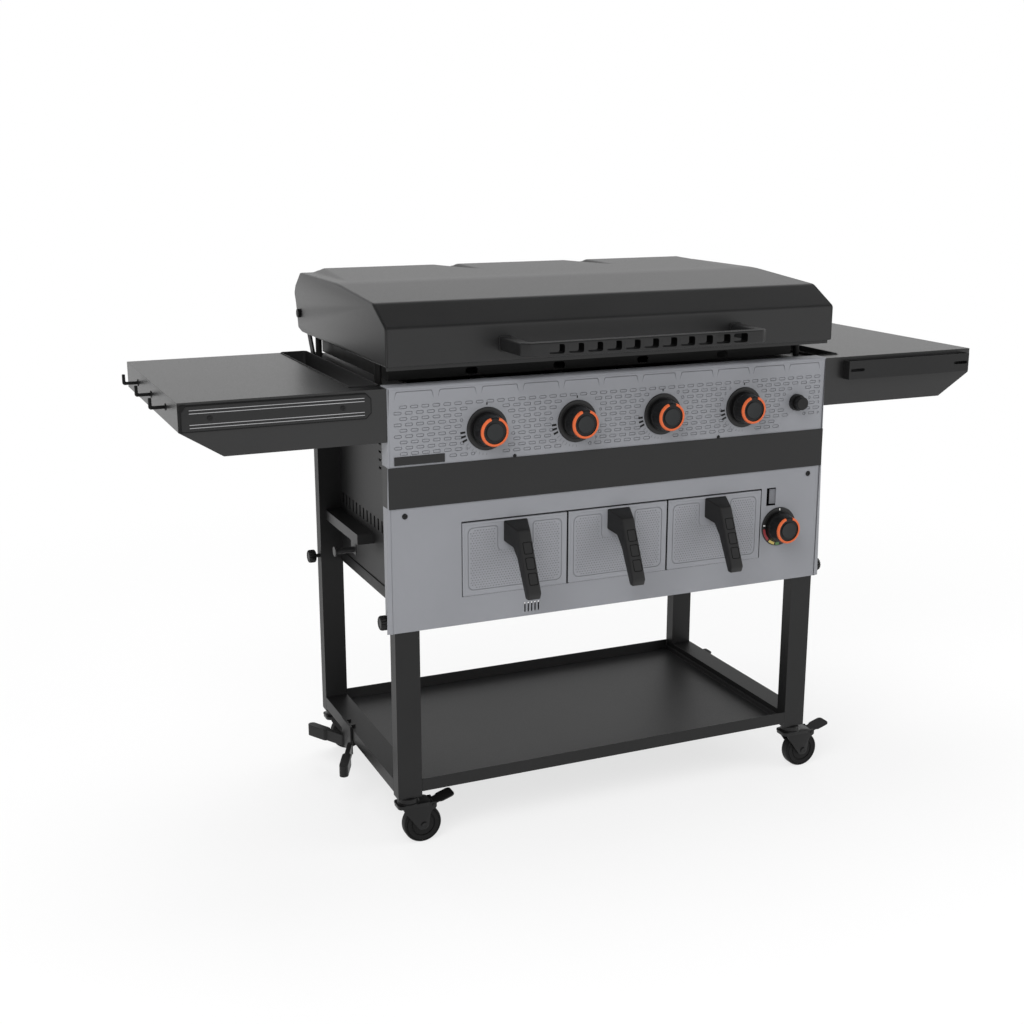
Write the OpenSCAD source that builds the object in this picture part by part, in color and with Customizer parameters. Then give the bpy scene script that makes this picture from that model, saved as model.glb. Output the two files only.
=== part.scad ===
// Outdoor gas griddle station: hooded griddle, three air-fryer drawers, two side shelves, wheeled cart.
// Millimetres. X runs along the front, Y towards the back, Z up from the floor.
// Places are worked out from the front panel's face and centre plane, and home() centres the station.

/* [Front panel] */
// Width of the grey front panel
panel_w = 924; // [900:2:950]
// Height of the panel's top edge, and of the shelves, above the floor
panel_top = 884; // [870:1:900]
// Height of the panel itself
panel_h = 454; // [448:1:462]
// Depth of the folds along the panel's top and sides
fold_d = 33; // [31:1:36]
// Thickness of the folded body sheet
sheet_t = 1.6; // [1.2:0.1:2]
// Height of the dark band across the panel
band_h = 76; // [60:1:79]
// Drop from the panel's top to the top of the band
band_drop = 143; // [141:1:150]

/* [Body and cart] */
// Depth from the panel's face to the back of the rear legs
body_d = 507; // [500:1:514]
// Width of each leg
leg_w = 48; // [44:1:50]
// Depth of each leg
leg_d = 28; // [26:1:30]
// Wall of the leg and rail tubes
tube_t = 1.5; // [1.2:0.1:2]
// Height of the leg bottoms above the floor
leg_bottom = 100; // [98:1:104]
// Height of the lower side rails
rail_h = 27; // [20:1:30]
// Height of the upturned front and rear lips of the bottom tray
tray_lip = 25; // [15:1:30]

/* [Hood] */
// Height of the hood's straight front face
hood_front_h = 68; // [55:0.5:75]
// Distance back to the edge between the front bevel and the top
nose_y = 58; // [50:1:75]
// Height of the hood's rim above its lower edge
hood_h = 122; // [118:0.5:130]
// Height of the raised panels on the hood top
ridge_h = 8; // [5:0.5:10]
// Reach of the hood's handle in front of the panel's face
handle_reach = 114; // [95:1:125]
// Length of the hood handle
handle_w = 504; // [440:2:560]
// Height of the hood handle's bar
handle_h = 24; // [20:1:26]

/* [Griddle] */
// Width of the griddle plate
griddle_w = 866; // [840:2:872]
// Thickness of the griddle plate
griddle_t = 4.5; // [3:0.5:6]
// Distance of the griddle's front wall behind the panel's face
griddle_y = 80; // [70:1:90]
// Height of the griddle's side and rear walls above its plate
griddle_wall = 38; // [25:1:42]

/* [Controls] */
// Spacing of the four burner knobs
knob_pitch = 182.1; // [160:0.1:186]
// Drop from the panel's top to the burner knobs
knob_drop = 85.5; // [80:0.5:92]
// Radius of the bezel disc behind each knob
bezel_r = 40; // [34:1:42]
// Radius of the knob at its base
knob_r = 31; // [30:0.5:34]
// How far each knob stands out from the panel
knob_reach = 39; // [30:1:44]
// Distance of the air-fryer knob from the drawer opening beside it
fryer_knob_gap = 43.1; // [41.1:0.1:47.1]

/* [Air-fryer drawers] */
// Width of the panel on either side of the drawer opening
drawer_side = 137.1; // [136.5:0.1:162]
// Height of the opening for the drawers
drawer_h = 144.7; // [138:0.1:146]
// Drop from the panel's top to the drawer opening
drawer_drop = 255.6; // [252:0.1:260]
// Depth of the baskets
basket_d = 300; // [240:5:340]
// How far the drawer handles lean out at their lower end
grip_d = 90; // [75:1:100]

/* [Side shelves] */
// Reach of each shelf from the centre of the station
shelf_reach = 827.5; // [780:0.5:860]
// How far the shelves reach behind the body
shelf_over = 7.6; // [0:0.2:9.6]
// Height of the shelf's edge at its outer end
shelf_edge_h = 50; // [40:1:60]
// Height of the shelf's front edge next to the body
shelf_root_h = 96; // [80:1:110]
// Width of the heat gap between the body and the shelf top
guard_w = 56; // [45:1:64]
// Reach of the tool hooks beyond the left shelf
hook_reach = 29; // [20:1:35]

/* [Casters] */
// Radius of the caster wheels
wheel_r = 37.5; // [35:0.5:38]
// Width of the caster wheels
wheel_w = 24; // [20:1:26]
// Distance of the wheel's axle behind the swivel
trail = 26; // [22:1:28]

/* [Rear] */
// Width of the grease cup
cup_w = 92; // [80:1:110]
// Depth of the grease cup
cup_l = 110; // [105:1:127]

/* [Hidden] */
$fn = 48;

// Clearances and the overrun of the cuts
cut = 1;
run_gap = 0.3;
fit_gap = 0.05;
seat_gap = 0.3;

// The whole station's box in the panel's frame, and the shift that centres it
mid_x = -hook_reach / 2;
cup_gap = 13;
cup_y = body_d + cup_gap;
cup_tab_l = 23;
cup_reach = cup_y + cup_l + cup_tab_l;
mid_y = (cup_reach - handle_reach) / 2;

// Front panel
panel_x = panel_w / 2;
panel_bottom = panel_top - panel_h;
band_top = panel_top - band_drop;
band_t = 2;
plate_w = 96;
plate_h = 15.5;
plate_gap = 10;
plate_rise = 3.5;

// Legs, rails and tray
leg_inset = 5;
leg_out = panel_x - leg_inset;
leg_in = leg_out - leg_w;
leg_x = (leg_out + leg_in) / 2;
leg_front_y = sheet_t + leg_d / 2;
leg_rear_y = body_d - leg_d / 2;
flange_drop = 5.6;
flange_z = panel_top - flange_drop;
flange_over = 2;
flange_out = panel_x + flange_over;
rail_lift = 3;
rail_z = leg_bottom + rail_lift;
tray_lift = 7;
tray_z = leg_bottom + tray_lift;
tray_x = leg_in - seat_gap;
tray_side = 12;

// Body walls and decks
wall_out = leg_in;
wall_in = leg_in - sheet_t;
back_in = body_d - sheet_t;
wall_lift = 6;
wall_bottom = panel_bottom + wall_lift;
rear_drop = 8.4;
vent_n = 12;
vent_w = 8;
vent_h = 24;
vent_y = 204;
vent_end = 37.6;
vent_pitch = (body_d - vent_end - vent_w - vent_y) / (vent_n - 1);
vent_lift = 134;
vent_z = panel_bottom + vent_lift;
louvre_n = 4;
louvre_w = 14;
louvre_h = 4;
louvre_pitch = 16;
louvre_y = 204;
louvre_lift = 262;
louvre_z = panel_bottom + louvre_lift;
floor_lift = 8;
floor_z = panel_bottom + floor_lift;
shield_drop = 184;
shield_z = panel_top - shield_drop;

// Drawers
drawer_n = 3;
drawer_pitch = (panel_w - 2 * drawer_side) / drawer_n;
drawers_x = panel_x - drawer_side;
fryer_knob_x = drawers_x + fryer_knob_gap;
drawer_top = panel_top - drawer_drop;
drawer_bottom = drawer_top - drawer_h;
front_gap = 4.5;
front_lift = 1;
front_x = (drawer_pitch - front_gap) / 2;
front_z0 = drawer_bottom + front_lift;
front_z1 = drawer_top - front_gap;
front_fold = 12;
basket_t = 1.2;
basket_side = 6;
basket_x = front_x - basket_side;
basket_top_drop = 12;
rail_top = front_z0 - run_gap;
deck_drop = 13.7;
deck_z = drawer_bottom - deck_drop;
runner_in = 14;
runner_t = 2;
runner_gap = 1.5;
runner_h = 16;
grip_w = 26;
grip_root_w = 49.5;
grip_top_drop = 1;
grip_root_h = 40;
grip_nose_y = 39;
grip_nose_drop = 12;
grip_waist_y = 26;
grip_waist_drop = 47;
grip_low_drop = 122;
grip_end_drop = 133;
grip_end_in = 4;
grip_thick = 15;

// Slots under the first drawer and the window beside the air-fryer knob
slot_n = 5;
slot_pitch = 7;
slot_w = 3;
slot_h = 19;
slot_x = -198;
slot_lift = 8;
slot_z = panel_bottom + slot_lift;
air_x = [-192, -118];
air_y = [42, 84];
window_w = 22;
window_h = 37;
window_gap = 23.1;
window_x = drawers_x + window_gap;
window_drop = 274.5;
window_d = 8;
window_rim = 3;

// Controls
knob_n = 4;
knob_z = panel_top - knob_drop;
fryer_knob_drop = 338;
fryer_knob_z = panel_top - fryer_knob_drop;
shaft_hole_r = 10;
bezel_t = 3;
bezel_edge = 1;
bezel_hole_r = 8;
stem_r = 4;
stem_reach = 24;
knob_gap = 0.4;
knob_taper = 2;
knob_round = 1;
ring_out = 27;
ring_w = 5;
ring_d = 2;
ring_proud = 0.8;
ring_split_w = 15;
cap_r = 20;
cap_dish = 1;
igniter_x = 396;
igniter_drop = 84;
igniter_z = panel_top - igniter_drop;
igniter_r = 16.5;
igniter_cup = 10;
button_r = 13;
button_reach = 25;
button_back = 6;
button_stem_r = 6;
button_stem_l = 25;
housing_r = 10.5;
housing_l = 35;
neck_r = 10;
pocket_extra = 7;

// Gas train and burners
pipe_r = 9;
pipe_y = 45;
pipe_end = 380;
valve_r = 12;
valve_l = 42;
jet_r = 5;
jet_y = 72;
burner_r = 17;
burner_t = 1.2;
burner_y = 60;
feed_r = 6;
inlet_r = 8;
inlet_x = 440;
inlet_hex_r = 12;
inlet_hex_l = 10;
fryer_tube_r = 9;
fryer_tube_y = 100;
fryer_tube_back = 400;
fryer_tube_x = 340;
fryer_tube_lift = 20;
fryer_tube_z = floor_z + fryer_tube_lift;

// Side shelves and heat guards
shelf_y = 0.6;
shelf_back = body_d + shelf_over;
shelf_bevel = 74;
guard_in = flange_out;
guard_out = guard_in + guard_w;
guard_y = 35;
guard_back = shelf_back - sheet_t;
guard_proud = 2;
guard_h = 60;
guard_r = 8;
strip_x0 = 492;
strip_end_gap = 2.5;
strip_t = 4;
strip_h = 46;
strip_drop = 4.5;
strip_cut = 10;
hook_ys = [110, 245.5, 386];
hook_w = 14;
hook_t = 3;
hook_drop = 26;
hook_up = 20;
hook_root = 12;
acc_x0 = 508;
acc_x1 = 811;
acc_reach = 19;
acc_h = 37;
acc_drop = 7;
acc_t = 1.6;
acc_slot_w = 34;
acc_slot_h = 6;
acc_slot_in = 21;
acc_foot = 14;

// Hood
lip_h = 7.5;
lip_in = 9;
hood_over = 10;
lip_y = lip_in - hood_over;
hood_lift = 38;
hood_bottom = panel_top + hood_lift;
hood_t = 1.6;
hood_wide = 5;
hood_x = panel_x + hood_wide;
hood_rim = hood_bottom + hood_h;
hood_top = hood_rim + ridge_h;
crease_z = hood_bottom + hood_front_h;
nose_drop = 17;
nose_z = hood_rim - nose_drop;
slope_y = 275;
top_over = 24;
top_back_y = body_d + top_over;
bulge_over = 74;
bulge_y = body_d + bulge_over;
bulge_drop = 45;
shoulder_over = 63;
shoulder_y = body_d + shoulder_over;
shoulder_drop = 28;
tail_over = 64;
tail_y = body_d + tail_over;
tail_drop = 66;
heel_over = 52;
heel_y = body_d + heel_over;
heel_rise = 6;
toe_over = 25;
toe_y = body_d + toe_over;
ridge_over = 17;
ridge_y = body_d + ridge_over;
ridge_edge_x = 440;
ridge_side = 22;
ridge_sink = 0.8;
ridge_pitch = (ridge_h + ridge_sink) / (ridge_y - slope_y);
valley_xs = [-146, 162];
valley_y = 400;
valley_skew = 42;
valley_gentle = 37;
valley_steep = 23;
pin_over = 36;
pin_y = body_d + pin_over;
pin_r = 5;
pin_rise = 38;
pin_z = hood_bottom + pin_rise;
pin_head_r = 9;
pin_head_t = 5;
bar_d = 22;
arm_w = 22;
bar_bevel = 14;
handle_rise = 19;
grip_hole_n = 11;
grip_hole_pitch = 37.5;
grip_hole_w = 30;
grip_hole_h = 18;
bracket_t = 4;
bracket_in = 9;
bracket_boss_r = 11;
bracket_foot_w = 20;
bracket_foot_t = 3;
bracket_under = 24;
bracket_y0 = body_d - bracket_under;
bracket_end = 1;
bracket_y1 = body_d - bracket_end;

// Griddle
griddle_x = griddle_w / 2;
griddle_in = 7;
griddle_back = body_d - griddle_in;
skirt_t = 3;
griddle_lift = 35.5;
griddle_top = panel_top + griddle_lift;
griddle_lip = 3;
post_r = 6.5;
post_x = 450;
post_front_y = griddle_y + post_r;
post_in = 40;
post_rear_y = body_d - post_in;
ear_t = 4;
oval_n = 4;
oval_pitch = 180;
oval_w = 25;
oval_h = 13;
oval_lift = 9;
spout_x = 300;
spout_w = 60;
spout_over = 33;
spout_y = body_d + spout_over;
spout_d = 12;

// Rear grease cup
cup_x = spout_x;
cup_h = 95;
cup_t = 1.6;
cup_drop = 16;
cup_top = panel_top - cup_drop;
cup_taper = 10;
cup_rim = 9;
cup_tab_w = 34;
cup_tab_drop = 12;
bar_t = 2.5;
bar_h = 12;

// Left side: gas bottle hanger and brace
hanger_x = 443.5;
hanger_y = 261;
hanger_lift = 121;
hanger_top = panel_bottom + hanger_lift;
hanger_h = 21;
hanger_t = 2;
hanger_tab_y = 274;
hanger_tab_w = 30;
hanger_tab_h = 24;
hanger_rod_r = 6;
hanger_rod_l = 37;
hanger_disc_r = 10;
hanger_disc_t = 3;
hanger_rod_rise = 8;
brace_y = 318;
brace_half = 30;
brace_t = 5;
brace_top = rail_z + rail_h;
brace_drop = 32;
brace_arm_h = 24;
brace_arm_r = 5;
brace_tip_out = 43;
brace_tip_y = 122;
brace_rear_tip_y = 104;
brace_hook = 10;
brace_hook_w = 10;
brace_pad_r = 9;
brace_pad_l_share = 0.55;

// Casters: swivel 1 front left, 2 front right, 3 rear left, 4 rear right
caster_at = [[-leg_x, leg_front_y], [leg_x, leg_front_y], [-leg_x, leg_rear_y], [leg_x, leg_rear_y]];
plug_h = 20;
plug_gap = 0.2;
mount_t = 3;
swivel_r = 5;
swivel_head_r = 8;
swivel_head_t = 3;
cup_outer_r = 19;
fork_t = 2.5;
fork_gap = 2.5;
fork_plate_t = 3;
fork_plate_z = 80;
fork_front = 24;
fork_back = 40;
fork_tail = 52;
cheek_front = 20;
cheek_end_z = 72;
fork_in = wheel_w / 2 + fork_gap;
fork_out = fork_in + fork_t;
hub_r = 12;
hub_gap = 0.3;
axle_r = 4;
axle_end = 1.5;
boss_r = 10;
tyre_round = 4;
pedal_x = 46;
pedal_z = 76;
pedal_pin_r = 2;
pedal_barrel_r = 4;
pedal_arm_l = 20;
pedal_pad_l = 34;
pedal_pad_w = 34;
pedal_pad_r = 8;
pedal_t = 3;
pedal_gap = 1;
pedal_tilt = 18;

// Screws
thumb_lift = 19;
thumb_z = panel_bottom + thumb_lift;
thumb_r = 14;
thumb_l = 16;
thumb_gap = 4;
thumb_shank_r = 4;
thumb_shank_in = 14;
screw_r = 4.5;
screw_t = 2.2;
panel_screw_x = 434;
panel_screw_drop = 234;
notch_x = 218;
notch_r = 3;
strip_screw_out = 50;
strip_screw_in = 52;
strip_screw_xs = [shelf_reach - strip_end_gap - strip_screw_out, strip_x0 + strip_screw_in];
strip_screw_drop = 28;

function unit(v) = v / norm(v);
function left_of(v) = [-v[1], v[0]];
function run_dir(p, i) = unit(p[i + 1] - p[i]);
function corner(p, i, t) =
    i == 0 ? p[0] + left_of(run_dir(p, 0)) * t
    : i == len(p) - 1 ? p[i] + left_of(run_dir(p, i - 1)) * t
    : let (a = left_of(run_dir(p, i - 1)), b = left_of(run_dir(p, i))) p[i] + (a + b) * (t / (1 + a * b));
// Outline of a bent sheet: the path itself and the same path moved aside by the sheet's thickness
function bent(p, t) = concat(p, [for (i = [len(p) - 1 : -1 : 0]) corner(p, i, t)]);

module home() translate([-mid_x, -mid_y, 0]) children();
module block(lo, hi) translate(lo) cube(hi - lo);
module both_sides() { children(); mirror([1, 0, 0]) children(); }
module along_x(x0, x1) translate([x0, 0, 0]) rotate([90, 0, 90]) linear_extrude(height = x1 - x0) children();
module along_y(y0, y1) translate([0, y1, 0]) rotate([90, 0, 0]) linear_extrude(height = y1 - y0) children();
module along_z(z0, z1) translate([0, 0, z0]) linear_extrude(height = z1 - z0) children();
module rod_x(x0, x1, y, z, r) translate([x0, y, z]) rotate([0, 90, 0]) cylinder(h = x1 - x0, r = r);
module rod_y(y0, y1, x, z, r) translate([x, y1, z]) rotate([90, 0, 0]) cylinder(h = y1 - y0, r = r);
module rod_z(z0, z1, x, y, r) translate([x, y, z0]) cylinder(h = z1 - z0, r = r);
module round_rect(w, h, r) {
    square([w - 2 * r, h], center = true);
    square([w, h - 2 * r], center = true);
    for (sx = [-1, 1], sy = [-1, 1])
        translate([sx * (w / 2 - r), sy * (h / 2 - r)]) circle(r = r);
}
module slot(w, h) {
    square([w - h, h], center = true);
    for (s = [-1, 1]) translate([s * (w - h) / 2, 0]) circle(r = h / 2);
}
// A turned piece with its axis along Y: its outline gives the radius and the reach forwards
module turned_y(x, y, z) translate([x, y, z]) rotate([90, 0, 0]) rotate_extrude() children();

// Front panel and its trim

module front_panel() color("#9a9ca2") home() difference() {
    union() {
        block([-panel_x, 0, panel_bottom], [panel_x, sheet_t, panel_top]);
        block([-panel_x, 0, panel_top - sheet_t], [panel_x, fold_d, panel_top]);
        both_sides() block([panel_x - sheet_t, 0, panel_bottom], [panel_x, fold_d, panel_top]);
    }
    block([-drawers_x, -cut, drawer_bottom], [drawers_x, sheet_t + cut, drawer_top]);
    for (i = [0 : knob_n - 1]) rod_y(-cut, sheet_t + cut, knob_x(i), knob_z, shaft_hole_r);
    rod_y(-cut, sheet_t + cut, fryer_knob_x, fryer_knob_z, shaft_hole_r);
    rod_y(-cut, sheet_t + cut, igniter_x, igniter_z, neck_r + plug_gap);
    for (i = [0 : slot_n - 1])
        translate([slot_x + i * slot_pitch, 0, 0])
            block([0, -cut, slot_z], [slot_w, sheet_t + cut, slot_z + slot_h]);
    along_y(-cut, sheet_t + cut) window_outline(0);
    both_sides() rod_x(leg_out, panel_x + cut, leg_front_y, thumb_z, thumb_shank_r + plug_gap);
}

function knob_x(i) = (i - (knob_n - 1) / 2) * knob_pitch;

module window_outline(grow)
    translate([window_x, panel_top - window_drop])
        square([window_w + 2 * grow, window_h + 2 * grow], center = true);

module trim_band() color("#333333") home() {
    block([-panel_x - band_t, -band_t, band_top - band_h], [panel_x + band_t, 0, band_top]);
    both_sides() block([panel_x, 0, band_top - band_h], [panel_x + band_t, fold_d, band_top]);
    block([plate_gap - panel_x, -sheet_t, band_top + plate_rise],
        [plate_gap + plate_w - panel_x, 0, band_top + plate_rise + plate_h]);
}

module fryer_window() color("#8c8e93") home() difference() {
    along_y(sheet_t, sheet_t + window_d + sheet_t) window_outline(window_rim);
    along_y(sheet_t - cut, sheet_t + window_d) window_outline(0);
}

// Cart

module legs(y) color("#2c2c2c") home() both_sides() difference() {
    translate([leg_x, y, 0]) along_z(leg_bottom, flange_z) difference() {
        square([leg_w, leg_d], center = true);
        square([leg_w - 2 * tube_t, leg_d - 2 * tube_t], center = true);
    }
    translate([leg_out, y, thumb_z]) rotate([0, 90, 0])
        cylinder(h = 4 * tube_t, r = thumb_shank_r + plug_gap, center = true);
}

module side_rails() color("#2f2f2f") home() both_sides() translate([leg_x, 0, rail_z + rail_h / 2])
    along_y(leg_front_y + leg_d / 2, leg_rear_y - leg_d / 2) difference() {
        square([leg_w, rail_h], center = true);
        square([leg_w - 2 * tube_t, rail_h - 2 * tube_t], center = true);
    }

module bottom_tray() color("#3a3a3a") home() {
    tray_t = sheet_t;
    block([-tray_x, sheet_t, tray_z], [tray_x, body_d, tray_z + tray_t]);
    block([-tray_x, sheet_t, tray_z], [tray_x, sheet_t + tray_t, tray_z + tray_lip]);
    block([-tray_x, body_d - tray_t, tray_z], [tray_x, body_d, tray_z + tray_lip]);
    both_sides() block([tray_x - tray_t, sheet_t, tray_z], [tray_x, body_d, tray_z + tray_side]);
}

module caster_stem(x, y) translate([x, y, 0]) {
    along_z(leg_bottom, leg_bottom + plug_h)
        square([leg_w - 2 * tube_t - plug_gap, leg_d - 2 * tube_t - plug_gap], center = true);
    along_z(leg_bottom - mount_t, leg_bottom) square([leg_w, leg_d], center = true);
    rod_z(fork_plate_z - run_gap, leg_bottom, 0, 0, swivel_r);
    rod_z(fork_plate_z - run_gap - swivel_head_t, fork_plate_z - run_gap, 0, 0, swivel_head_r);
}

module caster_stems() color("#202020") home() for (c = caster_at) caster_stem(c[0], c[1]);

module caster_fork(i) color("#262626") home() translate([caster_at[i][0], caster_at[i][1], 0]) {
    difference() {
        union() {
            block([-fork_front, -fork_out, fork_plate_z],
                [fork_back, fork_out, fork_plate_z + fork_plate_t]);
            rod_z(fork_plate_z + fork_plate_t, leg_bottom - mount_t - run_gap, 0, 0, cup_outer_r);
            for (s = [0, 1]) mirror([0, s, 0]) along_y(fork_in, fork_out) {
                polygon([[-cheek_front, fork_plate_z + fork_plate_t], [fork_tail, fork_plate_z + fork_plate_t],
                    [fork_tail, cheek_end_z], [trail + boss_r, wheel_r], [trail - boss_r, wheel_r]]);
                translate([trail, wheel_r]) circle(r = boss_r);
            }
        }
        rod_z(fork_plate_z - cut, leg_bottom, 0, 0, swivel_r + fit_gap);
    }
    rod_y(-fork_out - axle_end, fork_out + axle_end, trail, wheel_r, axle_r);
    rod_y(-fork_out, fork_out, pedal_x, pedal_z, pedal_pin_r);
}

module caster_wheel(i) color("#1c1c1c") home() translate([caster_at[i][0] + trail, caster_at[i][1], wheel_r])
    rotate([90, 0, 0]) difference() {
        rotate_extrude() polygon([[0, -fork_in + hub_gap], [hub_r, -fork_in + hub_gap], [hub_r, -wheel_w / 2],
            [wheel_r - tyre_round, -wheel_w / 2], [wheel_r, -wheel_w / 2 + tyre_round],
            [wheel_r, wheel_w / 2 - tyre_round], [wheel_r - tyre_round, wheel_w / 2], [hub_r, wheel_w / 2],
            [hub_r, fork_in - hub_gap], [0, fork_in - hub_gap]]);
        cylinder(h = 2 * fork_out, r = axle_r + fit_gap, center = true);
    }

module brake_pedal(i) color("#1d1d1d") home()
    translate([caster_at[i][0] + pedal_x, caster_at[i][1], pedal_z]) rotate([0, -pedal_tilt, 0]) {
        pedal_in = fork_in - pedal_gap;
        difference() {
            union() {
                rod_y(-pedal_in, pedal_in, 0, 0, pedal_barrel_r);
                block([0, -pedal_in, -pedal_t / 2], [pedal_arm_l, pedal_in, pedal_t / 2]);
                translate([pedal_arm_l + pedal_pad_l / 2 - pedal_pad_r, 0, 0])
                    along_z(-pedal_t / 2, pedal_t / 2) round_rect(pedal_pad_l, pedal_pad_w, pedal_pad_r);
            }
            rod_y(-fork_out, fork_out, 0, 0, pedal_pin_r + fit_gap);
        }
    }

// Body walls, decks and gas train

module side_wall(side) color("#4a4a4b") home() mirror([side < 0 ? 1 : 0, 0, 0]) difference() {
    union() {
        block([wall_in, sheet_t, wall_bottom], [wall_out, body_d, flange_z + sheet_t]);
        block([wall_in, fold_d + sheet_t, flange_z], [flange_out, body_d, flange_z + sheet_t]);
    }
    for (i = [0 : vent_n - 1])
        block([wall_in - cut, vent_y + i * vent_pitch, vent_z],
            [wall_out + cut, vent_y + i * vent_pitch + vent_w, vent_z + vent_h]);
    for (i = [0 : louvre_n - 1])
        block([wall_in - cut, louvre_y, louvre_z + i * louvre_pitch],
            [wall_out + cut, louvre_y + louvre_w, louvre_z + i * louvre_pitch + louvre_h]);
    if (side < 0) rod_x(wall_in - cut, wall_out + cut, pipe_y, knob_z, inlet_r + plug_gap);
}

module rear_wall() color("#3a3a3a") home()
    block([-wall_in, back_in, wall_bottom], [wall_in, body_d, flange_z - rear_drop]);

module heat_shield() color("#8a8a88") home() difference() {
    block([-wall_in, sheet_t, shield_z], [wall_in, back_in, shield_z + sheet_t]);
    rod_z(shield_z - cut, shield_z + sheet_t + cut, fryer_knob_x, pipe_y, feed_r + plug_gap);
}

module cabinet_floor() color("#3a3a3a") home() difference() {
    block([-wall_in, sheet_t, floor_z], [wall_in, back_in, floor_z + sheet_t]);
    block([air_x[0], air_y[0], floor_z - cut], [air_x[1], air_y[1], floor_z + sheet_t + cut]);
}

module fryer_deck() color("#7d7d7b") home() difference() {
    union() {
        block([-wall_in, front_fold + sheet_t, deck_z], [wall_in, back_in, deck_z + sheet_t]);
        for (i = [0 : drawer_n - 1]) translate([drawer_x(i), 0, 0]) both_sides() {
            block([basket_x - runner_in, front_fold + sheet_t, deck_z], [basket_x, basket_d, rail_top]);
            block([basket_x + runner_gap, front_fold + sheet_t, deck_z],
                [basket_x + runner_gap + runner_t, basket_d, rail_top + runner_h]);
        }
    }
    rod_z(deck_z - cut, deck_z + sheet_t + cut, fryer_knob_x, fryer_tube_y, fryer_tube_r + plug_gap);
}

function drawer_x(i) = (i - (drawer_n - 1) / 2) * drawer_pitch;

module burner_tubes() color("#a3a29c") home() for (i = [0 : knob_n - 1]) difference() {
    rod_y(burner_y, back_in, knob_x(i), knob_z, burner_r);
    rod_y(burner_y - cut, back_in - burner_t, knob_x(i), knob_z, burner_r - burner_t);
}

module fryer_burner() color("#a3a29c") home() {
    difference() {
        rod_y(burner_y, fryer_tube_y, fryer_knob_x, fryer_knob_z, fryer_tube_r);
        rod_y(burner_y - cut, fryer_tube_y - fryer_tube_r, fryer_knob_x, fryer_knob_z,
            fryer_tube_r - burner_t);
    }
    rod_z(fryer_tube_z, fryer_knob_z, fryer_knob_x, fryer_tube_y, fryer_tube_r);
    rod_x(-fryer_tube_x, fryer_knob_x, fryer_tube_y, fryer_tube_z, fryer_tube_r);
    rod_y(fryer_tube_y, fryer_tube_back, -fryer_tube_x, fryer_tube_z, fryer_tube_r);
    rod_x(-fryer_tube_x, fryer_tube_x, fryer_tube_back, fryer_tube_z, fryer_tube_r);
    for (sx = [-1, 1], y = [fryer_tube_y, fryer_tube_back])
        rod_z(floor_z + sheet_t, fryer_tube_z, sx * (fryer_tube_x - fryer_tube_r), y, fryer_tube_r / 2);
}

module valve(x, z) {
    rod_y(sheet_t, sheet_t + valve_l, x, z, valve_r);
    rod_y(-stem_reach, sheet_t, x, z, stem_r);
    rod_y(sheet_t + valve_l, jet_y, x, z, jet_r);
}

module gas_manifold() color("#8e8e90") home() {
    rod_x(-pipe_end, pipe_end, pipe_y, knob_z, pipe_r);
    for (i = [0 : knob_n - 1]) valve(knob_x(i), knob_z);
    valve(fryer_knob_x, fryer_knob_z);
    rod_z(fryer_knob_z, knob_z, fryer_knob_x, pipe_y, feed_r);
    rod_x(-inlet_x, -pipe_end, pipe_y, knob_z, inlet_r);
    rod_x(-wall_out - inlet_hex_l, -wall_out, pipe_y, knob_z, inlet_hex_r);
}

// Controls

module bezel(x, z) difference() {
    turned_y(x, 0, z) polygon([[0, 0], [bezel_r, 0], [bezel_r, bezel_t - bezel_edge],
        [bezel_r - bezel_edge, bezel_t], [0, bezel_t]]);
    rod_y(-bezel_t - cut, cut, x, z, bezel_hole_r);
}

module knob_bezels() color("#1e1e1f") home() {
    for (i = [0 : knob_n - 1]) bezel(knob_x(i), knob_z);
    bezel(fryer_knob_x, fryer_knob_z);
}

// A knob body with a groove in its face, and the split ring that fills the groove
module knob(x, z) {
    face = knob_reach - bezel_t - knob_gap;
    translate([x, -bezel_t - knob_gap, z]) rotate([90, 0, 0]) {
        color("#1b1b1c") difference() {
            rotate_extrude() polygon([[0, 0], [knob_r, 0], [knob_r - knob_taper, face - knob_round],
                [knob_r - knob_taper - knob_round, face], [cap_r, face], [cap_r - cap_dish, face - cap_dish],
                [0, face - cap_dish]]);
            translate([0, 0, -cut]) cylinder(h = stem_reach - bezel_t + cut, r = stem_r + fit_gap);
            ring_solid(face - ring_d, face + ring_proud);
        }
        color("#f26a35") ring_solid(face - ring_d, face + ring_proud);
    }
}

module ring_solid(z0, z1) difference() {
    rod_z(z0, z1, 0, 0, ring_out);
    rod_z(z0 - cut, z1 + cut, 0, 0, ring_out - ring_w);
    block([-ring_split_w / 2, 0, z0 - cut], [ring_split_w / 2, ring_out + cut, z1 + cut]);
}

module burner_knob(i) home() knob(knob_x(i), knob_z);
module fryer_knob() home() knob(fryer_knob_x, fryer_knob_z);

module igniter_housing() color("#1e1e1f") home() difference() {
    union() {
        rod_y(-igniter_cup, 0, igniter_x, igniter_z, igniter_r);
        rod_y(0, sheet_t, igniter_x, igniter_z, neck_r);
        rod_y(sheet_t, housing_l, igniter_x, igniter_z, housing_r);
    }
    rod_y(-igniter_cup - cut, -sheet_t, igniter_x, igniter_z, button_r + run_gap);
    rod_y(-igniter_cup, button_stem_l + pocket_extra, igniter_x, igniter_z, button_stem_r + fit_gap);
}

module igniter_button() color("#242425") home() {
    turned_y(igniter_x, -button_back, igniter_z) polygon([[0, 0], [button_r, 0],
        [button_r, button_reach - button_back - cap_dish], [button_r - cap_dish, button_reach - button_back],
        [0, button_reach - button_back]]);
    rod_y(-button_back, button_stem_l, igniter_x, igniter_z, button_stem_r);
}

// Air-fryer drawers

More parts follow.
